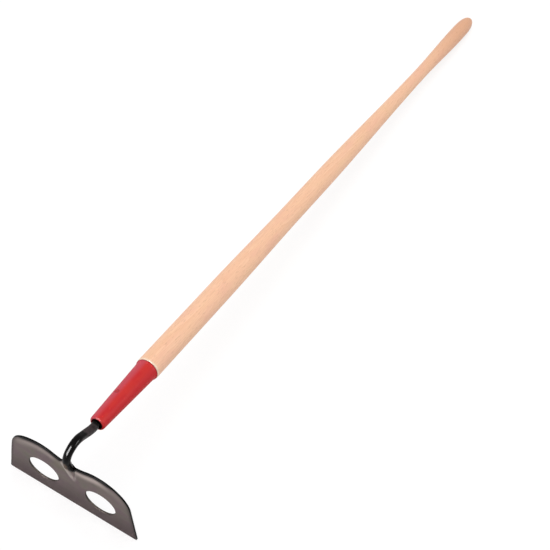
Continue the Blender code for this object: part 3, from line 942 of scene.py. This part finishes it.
    def build(self, lean: float) -> Piece:
        """Build the plate's mesh.

        Args:
            lean: How far the blade leans back.

        Returns:
            The plate, with marks that say where it is painted and cut, how far it lies from the outline and
            from the trough's edge, which place the painted highlights, and where painted shade falls on the
            trough's right wall.
        """
        points, half = self.sheets()
        outline = np.array([p for p in self.border() if p[1] > self.corner_radius])
        places, faces, rows = [], [], []
        for side in (1.0, -1.0):
            first = len(places)
            faces += [tuple(first + i for i in (face if side > 0 else face[::-1])) for face in half]
            for right, level, depth, cut, back in points:
                rim = float(np.min(np.hypot(outline[:, 0] - right, outline[:, 1] - level)))
                x, height = self.pressed(side, right, level)
                crown = self.crown_drop * max(0.0, 1.0 - rim / self.crown_width) ** 2
                thick = self.plate - depth if back else depth + crown * (1.0 - cut)
                down = thick * math.tan(lean) * max(0.0, 1.0 - height / self.edge_level)
                places.append(Vector((x, thick + self.relief(x, height), height - down)))
                aside, half_width = self.trough_place(x, height)
                border = abs(aside) - half_width + max(0.0, self.trough_tip - height)
                paint = self.band_width if back and not cut else self.painted(x, rim) - cut
                # The last mark is the painted shade on the trough's right wall
                rows.append((rim, paint, cut, border, self.trough_wall_shade(x, height)))
        marks = dict(zip(("rim", "paint", "cut", "border", "wall"), map(list, zip(*rows))))
        return new_piece("blade_plate", places, faces, marks)


# Gooseneck


@dataclass
class Gooseneck:
    """The forged rod: a palm in the blade's trough, the crest, the shank and the tang."""

    blade: Blade
    palm_width: float = 0.0188
    palm_thickness: float = 0.0098
    palm_tip_width: float = 0.0040
    palm_tip_thickness: float = 0.0048
    palm_skew: float = 0.0005
    palm_point: float = 1.5
    palm_rise: float = 0.0175
    rod_diameter: float = 0.0135
    root_diameter: float = 0.0150
    rod_run: float = 0.0088
    stand_off: float = 0.00585
    rod_lean: float = math.radians(6.5)
    crest_radius: float = 0.0235
    shank_fall: float = math.radians(34.0)
    shank_length: float = 0.0300
    shoulder_radius: float = 0.0450
    root_length: float = 0.0040
    handle_fall: float = math.radians(13.1)
    tang_diameter: float = 0.0120
    tang_tip_diameter: float = 0.0075
    tang_length: float = 0.1180
    tang_shares: Spot = (0.0, 0.5, 0.98)
    nose_setback: float = 0.0120
    seat_gap: float = 0.0005
    # Where the rod turns square, where its paint is scuffed and gets a painted sheen, and where it has its
    # foot, by its run past the crest's start
    forged_from: Point = (0.045, 0.056)
    squareness: float = 3.2
    thinning: float = 0.89
    rubbed_and_sheen_from: Point = (0.060, 0.068)
    rubbed_and_sheen_to: Point = (0.100, 0.093)
    foot_to: Point = (0.0075, -0.0005)
    forging_lump: float = 0.00022
    forging_size: float = 0.011
    sides: int = 48
    palm_steps: int = 18
    rise_steps: int = 10
    run_step: float = 0.002
    bend_step: float = math.radians(3.0)

    def __post_init__(self) -> None:
        """Work out the heading of the handle's axis, turned back from straight up the blade."""
        self.handle_heading = math.pi / 2 + self.handle_fall

    @staticmethod
    def advance(place: Point, heading: float, length: float) -> Point:
        """Return the (depth, height) that lies a length along a heading."""
        return place[0] + length * math.sin(heading), place[1] + length * math.cos(heading)

    def bend(self, place: Point, heading: float, end: float, radius: float) -> list[tuple[Point, float]]:
        """Follow a bend.

        Args:
            place: Where the bend starts.
            heading: Heading there.
            end: Heading at its end.
            radius: The bend's radius.

        Returns:
            Places and headings after the start.
        """
        side = math.copysign(1.0, end - heading)
        centre = self.advance(place, heading + side * math.pi / 2, radius)
        steps = max(2, math.ceil(abs(end - heading) / self.bend_step))
        turns = [blend(heading, end, i / steps) for i in range(1, steps + 1)]
        return [(self.advance(centre, now - side * math.pi / 2, radius), now) for now in turns]

    def straight(self, place: Point, heading: float, length: float) -> list[tuple[Point, float]]:
        """Return places and headings along a straight run, the start left out."""
        steps = max(1, round(length / self.run_step))
        return [(self.advance(place, heading, length * i / steps), heading) for i in range(1, steps + 1)]

    def route(self) -> list[tuple[Point, float]]:
        """Return places and headings from the start of the crest to the ferrule's mouth."""
        start = self.blade.saddle_height + self.palm_rise + self.rod_run
        route = [((-self.stand_off, start), -self.rod_lean)]
        route += self.bend(*route[-1], math.pi / 2 + self.shank_fall, self.crest_radius)
        route += self.straight(*route[-1], self.shank_length)
        route += self.bend(*route[-1], self.handle_heading, self.shoulder_radius)
        return route + self.straight(*route[-1], self.root_length)

    def palm_faces(self, height: float) -> Point:
        """Return how far the palm's front and back lie behind the blade's face."""
        saddle = self.blade.saddle_height
        share = max(0.0, (saddle - height) / self.blade.palm_length)
        back = blend(self.blade.trough_mouth_depth, self.blade.trough_depth, share) - self.seat_gap
        front = back - blend(self.palm_thickness, self.palm_tip_thickness, share)
        if height > saddle:
            rise = (height - saddle) / self.palm_rise
            axis = -self.stand_off + self.rod_run * math.tan(self.rod_lean)
            front = blend(front, axis - self.rod_diameter / 2, rise)
            back = blend(back, axis + self.rod_diameter / 2, rise)
        return front, back

    def palm_half_width(self, height: float) -> float:
        """Return half the palm's width at a height."""
        above = height - self.blade.saddle_height
        if above > 0.0:
            return blend(self.palm_width / 2, self.rod_diameter / 2, smooth(above / self.palm_rise))
        share = (-above / self.blade.palm_length) ** self.palm_point
        return blend(self.palm_width / 2, self.palm_tip_width / 2, share)

    def palm_middle(self, height: float) -> float:
        """Return how far right of the blade's middle the palm lies at a height."""
        return self.palm_skew * smooth((self.blade.saddle_height - height) / self.blade.palm_length)

    def ring(
        self, place: Point, heading: float, size: Point, power: float = 2.0, middle: float = 0.0
    ) -> list[Vector]:
        """Lay one ring square to a heading.

        Args:
            place: The ring's centre as (depth, height).
            heading: The path's heading there.
            size: Half the width across the blade, and half the depth in its plane of symmetry.
            power: 2 for an ellipse, more for a rounded square.
            middle: Distance of the ring's centre to the right of the blade's middle.

        Returns:
            Points in the blade's axes, with the slight lumps that hammering leaves.
        """
        centre = Vector((middle, *place))
        result = []
        for i in range(self.sides):
            angle = 2 * math.pi * (i + 0.5) / self.sides
            c, s = math.cos(angle), math.sin(angle)
            reach = (abs(c) ** power + abs(s) ** power) ** (-1.0 / power)
            depth, height = self.advance(place, heading + math.pi / 2, size[1] * s * reach)
            point = Vector((middle + size[0] * c * reach, depth, height))
            lump = noise.noise(point / self.forging_size) * self.forging_lump
            result.append(point + (point - centre).normalized() * lump)
        return result

    def palm(self) -> tuple[list[list[Vector]], list[float]]:
        """Return the rings up to the crest's start, and how far each one lies past it."""
        tip, saddle = self.blade.palm_tip, self.blade.saddle_height
        turns = [math.pi / 2 * i / self.palm_steps for i in range(self.palm_steps + 1)]
        heights = [blend(tip, saddle, 1.0 - math.cos(turn)) for turn in turns]
        heights += [saddle + self.palm_rise * i / self.rise_steps for i in range(1, self.rise_steps + 1)]
        rings = []
        for height in heights:
            front, back = self.palm_faces(height)
            size = (self.palm_half_width(height), (back - front) / 2)
            rings.append(self.ring(((front + back) / 2, height), 0.0, size, middle=self.palm_middle(height)))
        return rings, [height - saddle - self.palm_rise - self.rod_run for height in heights]

    def rod(self) -> tuple[list[list[Vector]], list[float]]:
        """Return the rings from the crest's start to the mouth, and how far each one lies past it."""
        route, run = self.route(), 0.0
        rings, runs = [], []
        for i, (place, heading) in enumerate(route):
            run += math.dist(place, route[max(0, i - 1)][0])
            forged = ramp(run, *self.forged_from)
            radius = blend(self.rod_diameter, self.root_diameter, smooth(i / (len(route) - 1))) / 2
            radius *= blend(1.0, self.thinning, forged)
            rings.append(self.ring(place, heading, (radius, radius), blend(2.0, self.squareness, forged)))
            runs.append(run)
        return rings, runs

    def tang(self) -> list[list[Vector]]:
        """Return the rings inside the ferrule, from the mouth on."""
        mouth, heading = self.route()[-1][0], self.handle_heading
        root = self.root_diameter / 2 * self.thinning
        shoulder = self.nose_setback - self.seat_gap
        sizes = [(shoulder - root + self.tang_diameter / 2, root)]
        for share in self.tang_shares:
            radius = blend(self.tang_diameter, self.tang_tip_diameter, share) / 2
            sizes.append((blend(shoulder, self.tang_length, share), radius))
        sizes.append((self.tang_length, self.tang_tip_diameter / 4))
        return [self.ring(self.advance(mouth, heading, run), heading, (r, r)) for run, r in sizes]

    def build(self) -> Piece:
        """Loft the rod.

        Returns:
            The rod, with marks that say where its paint is scuffed and gets a painted sheen, and where its
            foot is.
        """
        (palm, before), (rod, after), tang = self.palm(), self.rod(), self.tang()
        runs = before + after + [after[-1]] * len(tang)
        spans = {"rubbed_and_sheen": (self.rubbed_and_sheen_from, self.rubbed_and_sheen_to), "foot": (self.foot_to,)}
        marks = {
            mark: [math.prod(ramp(run, *limits) for limits in ends) for run in runs]
            for mark, ends in spans.items()
        }
        return skin("gooseneck_rod", palm + rod + tang, False, marks)

    def handle_axes(self, axes: Axes, ferrule_length: float) -> Axes:
        """Return axes with z along the handle from the ferrule's rim, from the blade's axes."""
        depth, height = self.advance(self.route()[-1][0], self.handle_heading, ferrule_length)
        return Axes(tuple(axes.matrix() @ Vector((0.0, depth, height))), axes.turn - self.handle_heading)


# Pieces that Geometry Nodes draw


@dataclass
class Grown:
    """A piece that a node tree draws, with a named input for each of the piece's own numbers."""

    numbers: ClassVar[tuple[str, ...]] = ()

    def draw(self, tree: Tree, given: Any) -> Socket:
        """Add the nodes that draw the piece; each piece has its own.

        Args:
            tree: The tree.
            given: The tree's inputs, to look up by name.

        Returns:
            Socket with the piece's geometry.
        """
        raise NotImplementedError

    def grow(self, name: str, base: Mesh, material: Material) -> Piece:
        """Run the piece's tree once and keep its result as a plain mesh.

        Args:
            name: Name of the finished piece.
            base: Mesh that the tree starts from.
            material: The piece's material.

        Returns:
            The finished piece, with no modifier.
        """
        values = {number: getattr(self, number) for number in self.numbers} | {"material": material}
        tree = bpy.data.node_groups.new(name, "GeometryNodeTree")
        for way in ("INPUT", "OUTPUT"):
            tree.interface.new_socket("Geometry", in_out=way, socket_type="NodeSocketGeometry")
        for label, value in values.items():
            tree.interface.new_socket(label, in_out="INPUT", socket_type=SOCKET_KINDS[type(value)])
        given = add(tree, "NodeGroupInput").node.outputs
        real = add(tree, "RealizeInstances", self.draw(tree, given))
        dressed = add(tree, "SetMaterial", {"Geometry": real, "Material": given["material"]})
        add(tree, "NodeGroupOutput", dressed)
        seed = show(name + "_seed", base)
        modifier = seed.modifiers.new("grow", "NODES")
        modifier.node_group = tree
        for item in tree.interface.items_tree:
            if item.name in values:
                modifier[item.identifier] = values[item.name]
        evaluated = seed.evaluated_get(bpy.context.evaluated_depsgraph_get())
        mesh = bpy.data.meshes.new_from_object(evaluated)
        mesh.name = name
        bpy.data.objects.remove(seed, do_unlink=True)
        clean(mesh)
        return show(name, mesh)


@dataclass
class WeldBead(Grown):
    """An arc-weld fillet in the corner between the palm and the trough, laid in ripples."""

    neck: Gooseneck
    side: float
    radius: float
    inset: float = 0.0022
    overrun: float = 0.0005
    # The bead's middle, by shares of its radius off the palm and below its seat
    clear_of_palm: float = 0.4
    sunk: float = 0.2
    seat_share: float = 0.75
    taper_power: float = 4.0
    taper_left: float = 1.03
    path_steps: int = 24
    ripple_pitch: float = 0.0021
    ripple_height: float = 0.00030
    ripple_bow: float = 0.9
    steps: int = 96
    sides: int = 20
    numbers: ClassVar[tuple[str, ...]] = (
        "radius", "taper_power", "taper_left", "ripple_pitch", "ripple_height", "ripple_bow", "steps", "sides"
    )

    def path(self) -> Mesh:
        """Return the bead's centreline, as a chain of edges in the blade's axes."""
        neck, points = self.neck, []
        start, end = neck.blade.palm_tip + self.inset, neck.blade.saddle_height + self.overrun
        for height in (blend(start, end, i / self.path_steps) for i in range(self.path_steps + 1)):
            aside = neck.palm_half_width(height) + self.clear_of_palm * self.radius
            x = self.side * aside + neck.palm_middle(height)
            seat = min(neck.blade.relief(x, height), blend(*neck.palm_faces(height), self.seat_share))
            points.append((x, seat - self.sunk * self.radius, height))
        mesh = bpy.data.meshes.new("weld_path")
        mesh.from_pydata(points, [(i, i + 1) for i in range(self.path_steps)], [])
        return mesh

    def draw(self, tree: Tree, given: Any) -> Socket:
        """Lay a rippled bead along the path.

        Args:
            tree: The tree.
            given: The tree's inputs, to look up by name.

        Returns:
            Socket with the bead.
        """
        curve = add(tree, "MeshToCurve", {"Mesh": given["Geometry"]})
        curve = add(tree, "ResampleCurve", {"Curve": curve, "Count": given["steps"]})
        along = add(tree, "SplineParameter").node.outputs
        centred = add(tree, "Math", along["Factor"], 2.0, -1.0, operation="MULTIPLY_ADD")
        power = add(tree, "Math", centred, given["taper_power"], operation="POWER")
        left = add(tree, "Math", given["taper_left"], power, operation="SUBTRACT")
        taper = add(tree, "Math", left, operation="SQRT")
        radius = add(tree, "Math", taper, given["radius"], operation="MULTIPLY")
        circle = add(tree, "CurvePrimitiveCircle", {"Resolution": given["sides"], "Radius": 1.0})
        curve, circle = (
            add(tree, "StoreNamedAttribute", {"Geometry": line, "Name": name, "Value": along[place]})
            for line, name, place in ((curve, "run", "Length"), (circle, "round", "Factor"))
        )
        inputs = {"Curve": curve, "Profile Curve": circle, "Scale": radius, "Fill Caps": True}
        tube = add(tree, "CurveToMesh", inputs)
        inputs = {0: add(tree, "InputNormal"), "Scale": self.ripple(tree, given)}
        offset = add(tree, "VectorMath", inputs, operation="SCALE")
        return add(tree, "SetPosition", {"Geometry": tube, "Offset": offset})

    @staticmethod
    def ripple(tree: Tree, given: Any) -> Socket:
        """Add the scallop of each ripple, bowed along the bead at its crown.

        Args:
            tree: The tree.
            given: The tree's inputs, to look up by name.

        Returns:
            Socket with the height of the surface over the plain bead.
        """
        run, turn = (
            add(tree, "InputNamedAttribute", {"Name": name}, output="Attribute") for name in ("run", "round")
        )
        angle = add(tree, "Math", turn, 2 * math.pi, operation="MULTIPLY")
        crown = add(tree, "Math", angle, operation="COSINE")
        count = add(tree, "Math", run, given["ripple_pitch"], operation="DIVIDE")
        phase = add(tree, "Math", crown, given["ripple_bow"], count, operation="MULTIPLY_ADD")
        half_turns = add(tree, "Math", phase, math.pi, operation="MULTIPLY")
        wave = add(tree, "Math", half_turns, operation="SINE")
        scallop = add(tree, "Math", wave, operation="ABSOLUTE")
        return add(tree, "Math", scallop, given["ripple_height"], operation="MULTIPLY")

    def build(self, material: Material) -> Piece:
        """Lay the bead as a plain mesh in a material."""
        return self.grow("weld_bead_left" if self.side < 0 else "weld_bead_right", self.path(), material)


# Ferrule and pin


@dataclass
class Ferrule:
    """The steel cone: its mouth rolled in round the neck, its rim opened into a small lip."""

    length: float = 0.1460
    wall: float = 0.0015
    mouth_diameter: float = 0.0274
    rim_diameter: float = 0.0388
    roll_radius: float = 0.0040
    lip_length: float = 0.0050
    lip_rise: float = 0.0015
    pin_diameter: float = 0.0045
    pin_place: float = 0.0800
    pin_turn: float = math.radians(29.0)
    pin_proud: float = 0.0004
    dimple_depth: float = 0.0007
    dimple_reach: float = 0.0042
    shade_rows: int = 2
    roll_steps: int = 10
    cone_steps: int = 68
    lip_steps: int = 10
    inner_cone_steps: int = 8
    inner_roll_steps: int = 6
    dome_steps: int = 6
    sides: int = 120
    pin_sides: int = 32

    @property
    def pin_line(self) -> Spot:
        """Direction of the pin, square to the handle's axis."""
        return math.sin(self.pin_turn), math.cos(self.pin_turn), 0.0

    def cone_radius(self, s: float) -> float:
        """Return the outer radius of the plain cone at a distance from the rim."""
        return blend(self.mouth_diameter, self.rim_diameter, (s + self.length) / self.length) / 2

    def lip_radius(self, s: float) -> float:
        """Return the outer radius where the cone opens into its lip."""
        return self.cone_radius(s) + self.lip_rise * smooth(1.0 + s / self.lip_length)

    def profiles(self) -> tuple[list[Point], list[Point]]:
        """Return (radius, s) from the mouth's edge to the rim outside, and back inside."""
        end, lip = self.roll_radius - self.length, -self.lip_length
        centre = (self.cone_radius(end) - self.roll_radius, end)
        outside = [blend(end, lip, i / self.cone_steps) for i in range(1, self.cone_steps + 1)]
        outside += [lip * (1.0 - i / self.lip_steps) for i in range(1, self.lip_steps + 1)]
        inside = [blend(lip, end, i / self.inner_cone_steps) for i in range(self.inner_cone_steps + 1)]
        outer = arc(centre, self.roll_radius, -math.pi / 2, 0.0, self.roll_steps)
        outer += [(self.lip_radius(s), s) for s in outside]
        inner = [(self.lip_radius(s) - self.wall, s) for s in [0.0, 0.5 * lip] + inside]
        roll = arc(centre, self.roll_radius - self.wall, 0.0, -math.pi / 2, self.inner_roll_steps)
        return outer, inner + roll[1:]

    def dimple(self, angle: float, s: float) -> float:
        """Return how far the wall is driven in round the pin's two ends."""
        deepest = 0.0
        for end in (math.pi / 2 - self.pin_turn, 1.5 * math.pi - self.pin_turn):
            swing = (angle - end + math.pi) % (2 * math.pi) - math.pi
            away = math.hypot(swing * self.cone_radius(s), s + self.pin_place)
            deepest = max(deepest, self.dimple_depth * math.exp(-((away / self.dimple_reach) ** 4)))
        return deepest

    def build(self) -> Piece:
        """Revolve the ferrule's wall round the handle's axis."""
        outer, inner = self.profiles()
        rings = []
        for row, (radius, s) in enumerate(outer + inner):
            rings.append([])
            for angle in (2 * math.pi * i / self.sides for i in range(self.sides)):
                now = radius - (self.dimple(angle, s) if row < len(outer) else 0.0)
                rings[-1].append(Vector((now * math.cos(angle), now * math.sin(angle), s)))
        # Painted shade: the inside mark is 1 on the mouth's inner roll and the whole inner wall, where the
        # red material lays dark red and black
        shaded = [smooth((self.shade_rows - row) / self.shade_rows) for row in range(len(outer))]
        return skin("ferrule_cone", rings, True, {"inside": shaded + [1.0] * len(inner)})

    def build_pin(self) -> Piece:
        """Turn the pin that holds ferrule, wood and tang together, with domed ends."""
        radius = self.pin_diameter / 2
        end = self.cone_radius(-self.pin_place) - self.dimple_depth
        angles = [math.pi / 2 * i / self.dome_steps for i in range(self.dome_steps)]
        dome = [(radius * math.cos(a), end + self.pin_proud * math.sin(a)) for a in angles]
        along, up = Vector(self.pin_line), Vector((0.0, 0.0, 1.0))
        level = along.cross(up)
        rings = []
        for reach, height in [(r, -h) for r, h in reversed(dome)] + dome:
            centre = along * height - up * self.pin_place
            turns = (2 * math.pi * i / self.pin_sides for i in range(self.pin_sides))
            rings.append([centre + reach * (level * math.cos(a) + up * math.sin(a)) for a in turns])
        return skin("ferrule_pin_head", rings, False, {"inside": [0.0] * len(rings)})


# Handle


@dataclass
class Handle(Grown):
    """The turned stick: a shoulder at the ferrule, a long taper, a waist and a swelled butt."""

    ferrule: Ferrule
    length: float = 1.4040
    root_diameter: float = 0.0426
    root_run: float = 0.2400
    belly_diameter: float = 0.0382
    belly_start: float = 0.5200
    belly_end: float = 0.6200
    waist_diameter: float = 0.0263
    waist_place: float = 1.1150
    swell_diameter: float = 0.0336
    swell_place: float = 1.3250
    butt_fullness: float = 3.5
    shoulder_round: float = 0.0030
    nose_setback: float = 0.0120
    fit_gap: float = 0.0003
    sides: int = 96
    rows: int = 180
    nose_share: float = 0.03
    shoulder_share: float = 0.09
    closed_share: float = 1e-4
    numbers: ClassVar[tuple[str, ...]] = (
        "length", "root_diameter", "root_run", "belly_diameter", "belly_start", "belly_end",
        "waist_diameter", "waist_place", "swell_diameter", "swell_place", "butt_fullness",
        "shoulder_round", "nose_start", "nose_radius", "nose_end_radius", "nose_share",
        "shoulder_share", "closed_share", "sides", "rows",
    )

    def __post_init__(self) -> None:
        """Fit the nose inside the ferrule."""
        inside = self.ferrule.wall + self.fit_gap
        self.nose_start = self.nose_setback - self.ferrule.length
        self.nose_radius = self.ferrule.cone_radius(self.nose_start) - inside
        self.nose_end_radius = self.ferrule.cone_radius(0.0) - inside

    def draw(self, tree: Tree, given: Any) -> Socket:
        """Roll up a flat grid, with its columns round the stick and its rows along it.

        Args:
            tree: The tree.
            given: The tree's inputs, to look up by name.

        Returns:
            Socket with the stick.
        """
        columns = add(tree, "Math", given["sides"], 1.0, operation="ADD")
        grid = add(tree, "MeshGrid", 1.0, 1.0, columns, given["rows"])
        across, up, _ = add(tree, "SeparateXYZ", add(tree, "InputPosition")).node.outputs
        angle = add(tree, "Math", across, 2 * math.pi, operation="MULTIPLY")
        row = add(tree, "Math", up, 0.5, operation="ADD")
        along = self.station(tree, given, row)
        radius = self.radius(tree, given, row, along)
        sweep = (add(tree, "Math", angle, operation=name) for name in ("COSINE", "SINE"))
        x, y = (add(tree, "Math", radius, turn, operation="MULTIPLY") for turn in sweep)
        spot = add(tree, "CombineXYZ", x, y, along)
        rolled = add(tree, "SetPosition", {"Geometry": grid, "Position": spot})
        return add(tree, "MergeByDistance", {"Geometry": rolled, "Distance": MERGE_DISTANCE})

    @staticmethod
    def station(tree: Tree, given: Any, row: Socket) -> Socket:
        """Add the place of each row along the stick: dense at the shoulder and at the butt.

        Args:
            tree: The tree.
            given: The tree's inputs, to look up by name.
            row: Share of the rows, 0 to 1.

        Returns:
            Socket with the distance from the ferrule's rim.
        """
        neck, ledge, curve = given["nose_share"], given["shoulder_share"], given["shoulder_round"]
        first = add(tree, "Math", 1.0, given["rows"], operation="DIVIDE")
        nose = add(tree, "MapRange", row, first, neck, given["nose_start"], 0.0)
        shoulder = add(tree, "MapRange", row, neck, ledge, 0.0, curve)
        swing = add(tree, "MapRange", row, ledge, 1.0, 0.0, math.pi / 2)
        eased = add(tree, "Math", swing, operation="SINE")
        bare = add(tree, "Math", given["length"], curve, operation="SUBTRACT")
        front = add(tree, "Math", nose, shoulder, operation="ADD")
        return add(tree, "Math", eased, bare, front, operation="MULTIPLY_ADD")

    @staticmethod
    def radius(tree: Tree, given: Any, row: Socket, along: Socket) -> Socket:
        """Add the stick's radius: a diameter that eases from root to belly, waist and swell.

        Args:
            tree: The tree.
            given: The tree's inputs, to look up by name.
            row: Share of the rows, 0 to 1.
            along: Distance from the ferrule's rim.

        Returns:
            Socket with the radius.
        """
        diameter = given["root_diameter"]
        runs = (
            ("root_diameter", "belly_diameter", "root_run", "belly_start"),
            ("belly_diameter", "waist_diameter", "belly_end", "waist_place"),
            ("waist_diameter", "swell_diameter", "waist_place", "swell_place"),
        )
        for before, after, start, end in runs:
            change = add(tree, "Math", given[after], given[before], operation="SUBTRACT")
            limits = (given[start], given[end], 0.0, change)
            step = add(tree, "MapRange", along, *limits, interpolation_type="SMOOTHSTEP")
            diameter = add(tree, "Math", diameter, step, operation="ADD")
        half = add(tree, "Math", diameter, 0.5, operation="MULTIPLY")

        past = add(tree, "MapRange", along, given["swell_place"], given["length"])
        full = add(tree, "Math", past, given["butt_fullness"], operation="POWER")
        short = add(tree, "MapRange", along, 0.0, given["shoulder_round"], 1.0, 0.0)
        square = add(tree, "Math", short, short, operation="MULTIPLY")
        left = (add(tree, "Math", 1.0, gone, operation="SUBTRACT") for gone in (full, square))
        butt, rise = (add(tree, "Math", rest, operation="SQRT") for rest in left)
        wood = add(tree, "Math", half, butt, operation="MULTIPLY")
        ends = (given["nose_radius"], given["nose_end_radius"])
        nose = add(tree, "MapRange", along, given["nose_start"], 0.0, *ends)
        body = add(tree, "Mix", {0: rise, 2: nose, 3: wood})
        # The first row closes the nose on the axis
        shown = add(tree, "Math", row, given["closed_share"], operation="GREATER_THAN")
        return add(tree, "Math", body, shown, operation="MULTIPLY")

    def build(self, material: Material) -> Piece:
        """Turn the stick as a plain mesh in a material."""
        return self.grow("handle_stick", bpy.data.meshes.new("stick_seed"), material)


# Studio


class Role(Enum):
    """What a lamp does: light the hoe softly, or show as a streak in its gloss."""

    SOFT = "soft"
    STREAK = "streak"


@dataclass(frozen=True)
class Lamp:
    """A rectangular soft box that faces a point on the hoe, at an azimuth and elevation in degrees."""

    name: str
    role: Role
    azimuth: float
    elevation: float
    distance: float
    width: float
    height: float
    power: float
    target: Spot

    def hang(self) -> None:
        """Add the lamp to the scene, out of the camera's sight."""
        data = bpy.data.lights.new(self.name, "AREA")
        data.shape = "RECTANGLE"
        data.size, data.size_y = self.width, self.height
        data.energy = self.power
        away = direction(self.azimuth, self.elevation)
        lamp = show(self.name, data)
        lamp.location = Vector(self.target) + away * self.distance
        lamp.rotation_euler = (-away).to_track_quat("-Z", "Y").to_euler()
        lamp.visible_camera = False
        lamp.visible_glossy = self.role is Role.STREAK
        lamp.visible_diffuse = self.role is Role.SOFT


@dataclass
class Studio:
    """Floor, light and camera, whose azimuth, elevation and roll are in degrees."""

    floor_size: float = 40.0
    floor_drop: float = 0.0003
    fill: float = 0.62
    camera_azimuth: float = -69.27
    camera_elevation: float = 48.33
    camera_roll: float = 12.32
    camera_distance: float = 2.6451
    camera_aim: Spot = (0.02176, 0.63059, 0.00054)
    camera_reach: float = 200.0
    focal_px: float = 1372.0
    sensor_width_mm: float = 36.0
    lamps: list[Lamp] = field(default_factory=lambda: [
        Lamp("key_box", Role.SOFT, -105.0, 72.0, 5.0, 3.0, 3.0, 106.0, (0.0, 1.8, 0.0)),
        Lamp("front_box", Role.STREAK, -100.0, 34.0, 1.5, 1.0, 1.6, 330.0, (0.0, -0.02, 0.18)),
        Lamp("side_box", Role.STREAK, 20.0, 27.0, 1.4, 0.6, 0.35, 16.5, (0.0, -0.02, 0.18)),
    ])

    def build(self) -> None:
        """Set floor, world, lamps and camera."""
        bpy.context.scene.view_settings.view_transform = "Standard"
        self.lay_floor()
        self.light_world()
        for lamp in self.lamps:
            lamp.hang()
        self.aim_camera()

    def lay_floor(self) -> None:
        """Lay the paper that the hoe rests on."""
        half, low = self.floor_size / 2, -self.floor_drop
        corners = [(-half, -half, low), (half, -half, low), (half, half, low), (-half, half, low)]
        mesh = bpy.data.meshes.new("studio_floor")
        mesh.from_pydata(corners, [], [(0, 1, 2, 3)])
        mesh.materials.append(StudioPaper(Axes((0.0, 0.0, 0.0), 0.0)).make())
        floor = show("studio_floor", mesh)

    def light_world(self) -> None:
        """Surround the hoe with white that lights it at the fill level."""
        world = bpy.data.worlds.new("studio_world")
        world.use_nodes = True
        tree = world.node_tree
        tree.nodes.clear()
        seen = add(tree, "LightPath", output="Is Camera Ray")
        strength = add(tree, "MapRange", seen, 0.0, 1.0, self.fill, 1.0)
        white = add(tree, "Background", {"Color": linear("ffffff"), "Strength": strength})
        add(tree, "OutputWorld", {"Surface": white})
        bpy.context.scene.world = world

    def aim_camera(self) -> None:
        """Set the camera at the photograph's place and angle."""
        back = direction(self.camera_azimuth, self.camera_elevation)
        level = direction(self.camera_azimuth + 90.0, 0.0)
        above, roll = back.cross(level), math.radians(self.camera_roll)
        right = level * math.cos(roll) + above * math.sin(roll)
        up = above * math.cos(roll) - level * math.sin(roll)
        data = bpy.data.cameras.new("photo_camera")
        data.sensor_width = self.sensor_width_mm
        data.lens = self.focal_px / IMAGE_WIDTH_PX * self.sensor_width_mm
        data.clip_end = self.camera_reach
        camera = show("photo_camera", data)
        turned = Matrix((right, up, back)).transposed().to_4x4()
        place = Vector(self.camera_aim) + back * self.camera_distance
        camera.matrix_world = Matrix.Translation(place) @ turned
        bpy.context.scene.camera = camera


def main() -> None:
    """Build the hoe piece by piece, then the studio."""
    blade = Blade()
    neck = Gooseneck(blade)
    ferrule = Ferrule()
    face = blade.axes()
    stick = neck.handle_axes(face, ferrule.length)

    settle(blade.build(face.turn), face, "blade", GroundSteel(face).make())
    settle(neck.build(), face, "gooseneck", GlossBlack(face).make())
    scale = WeldScale(face).make()
    for node, side, radius in (("weld_left", -1.0, 0.0028), ("weld_right", 1.0, 0.0014)):
        settle(WeldBead(neck, side, radius).build(scale), face, node, scale)
    red = RedEnamel(stick, (0.0, 0.0, -ferrule.pin_place), ferrule.pin_line).make()
    settle(ferrule.build(), stick, "ferrule", red)
    settle(ferrule.build_pin(), stick, "ferrule_pin", red)
    ash = LacqueredAsh(stick).make()
    settle(Handle(ferrule).build(ash), stick, "handle", ash)
    Studio().build()


if __name__ == "__main__":
    main()
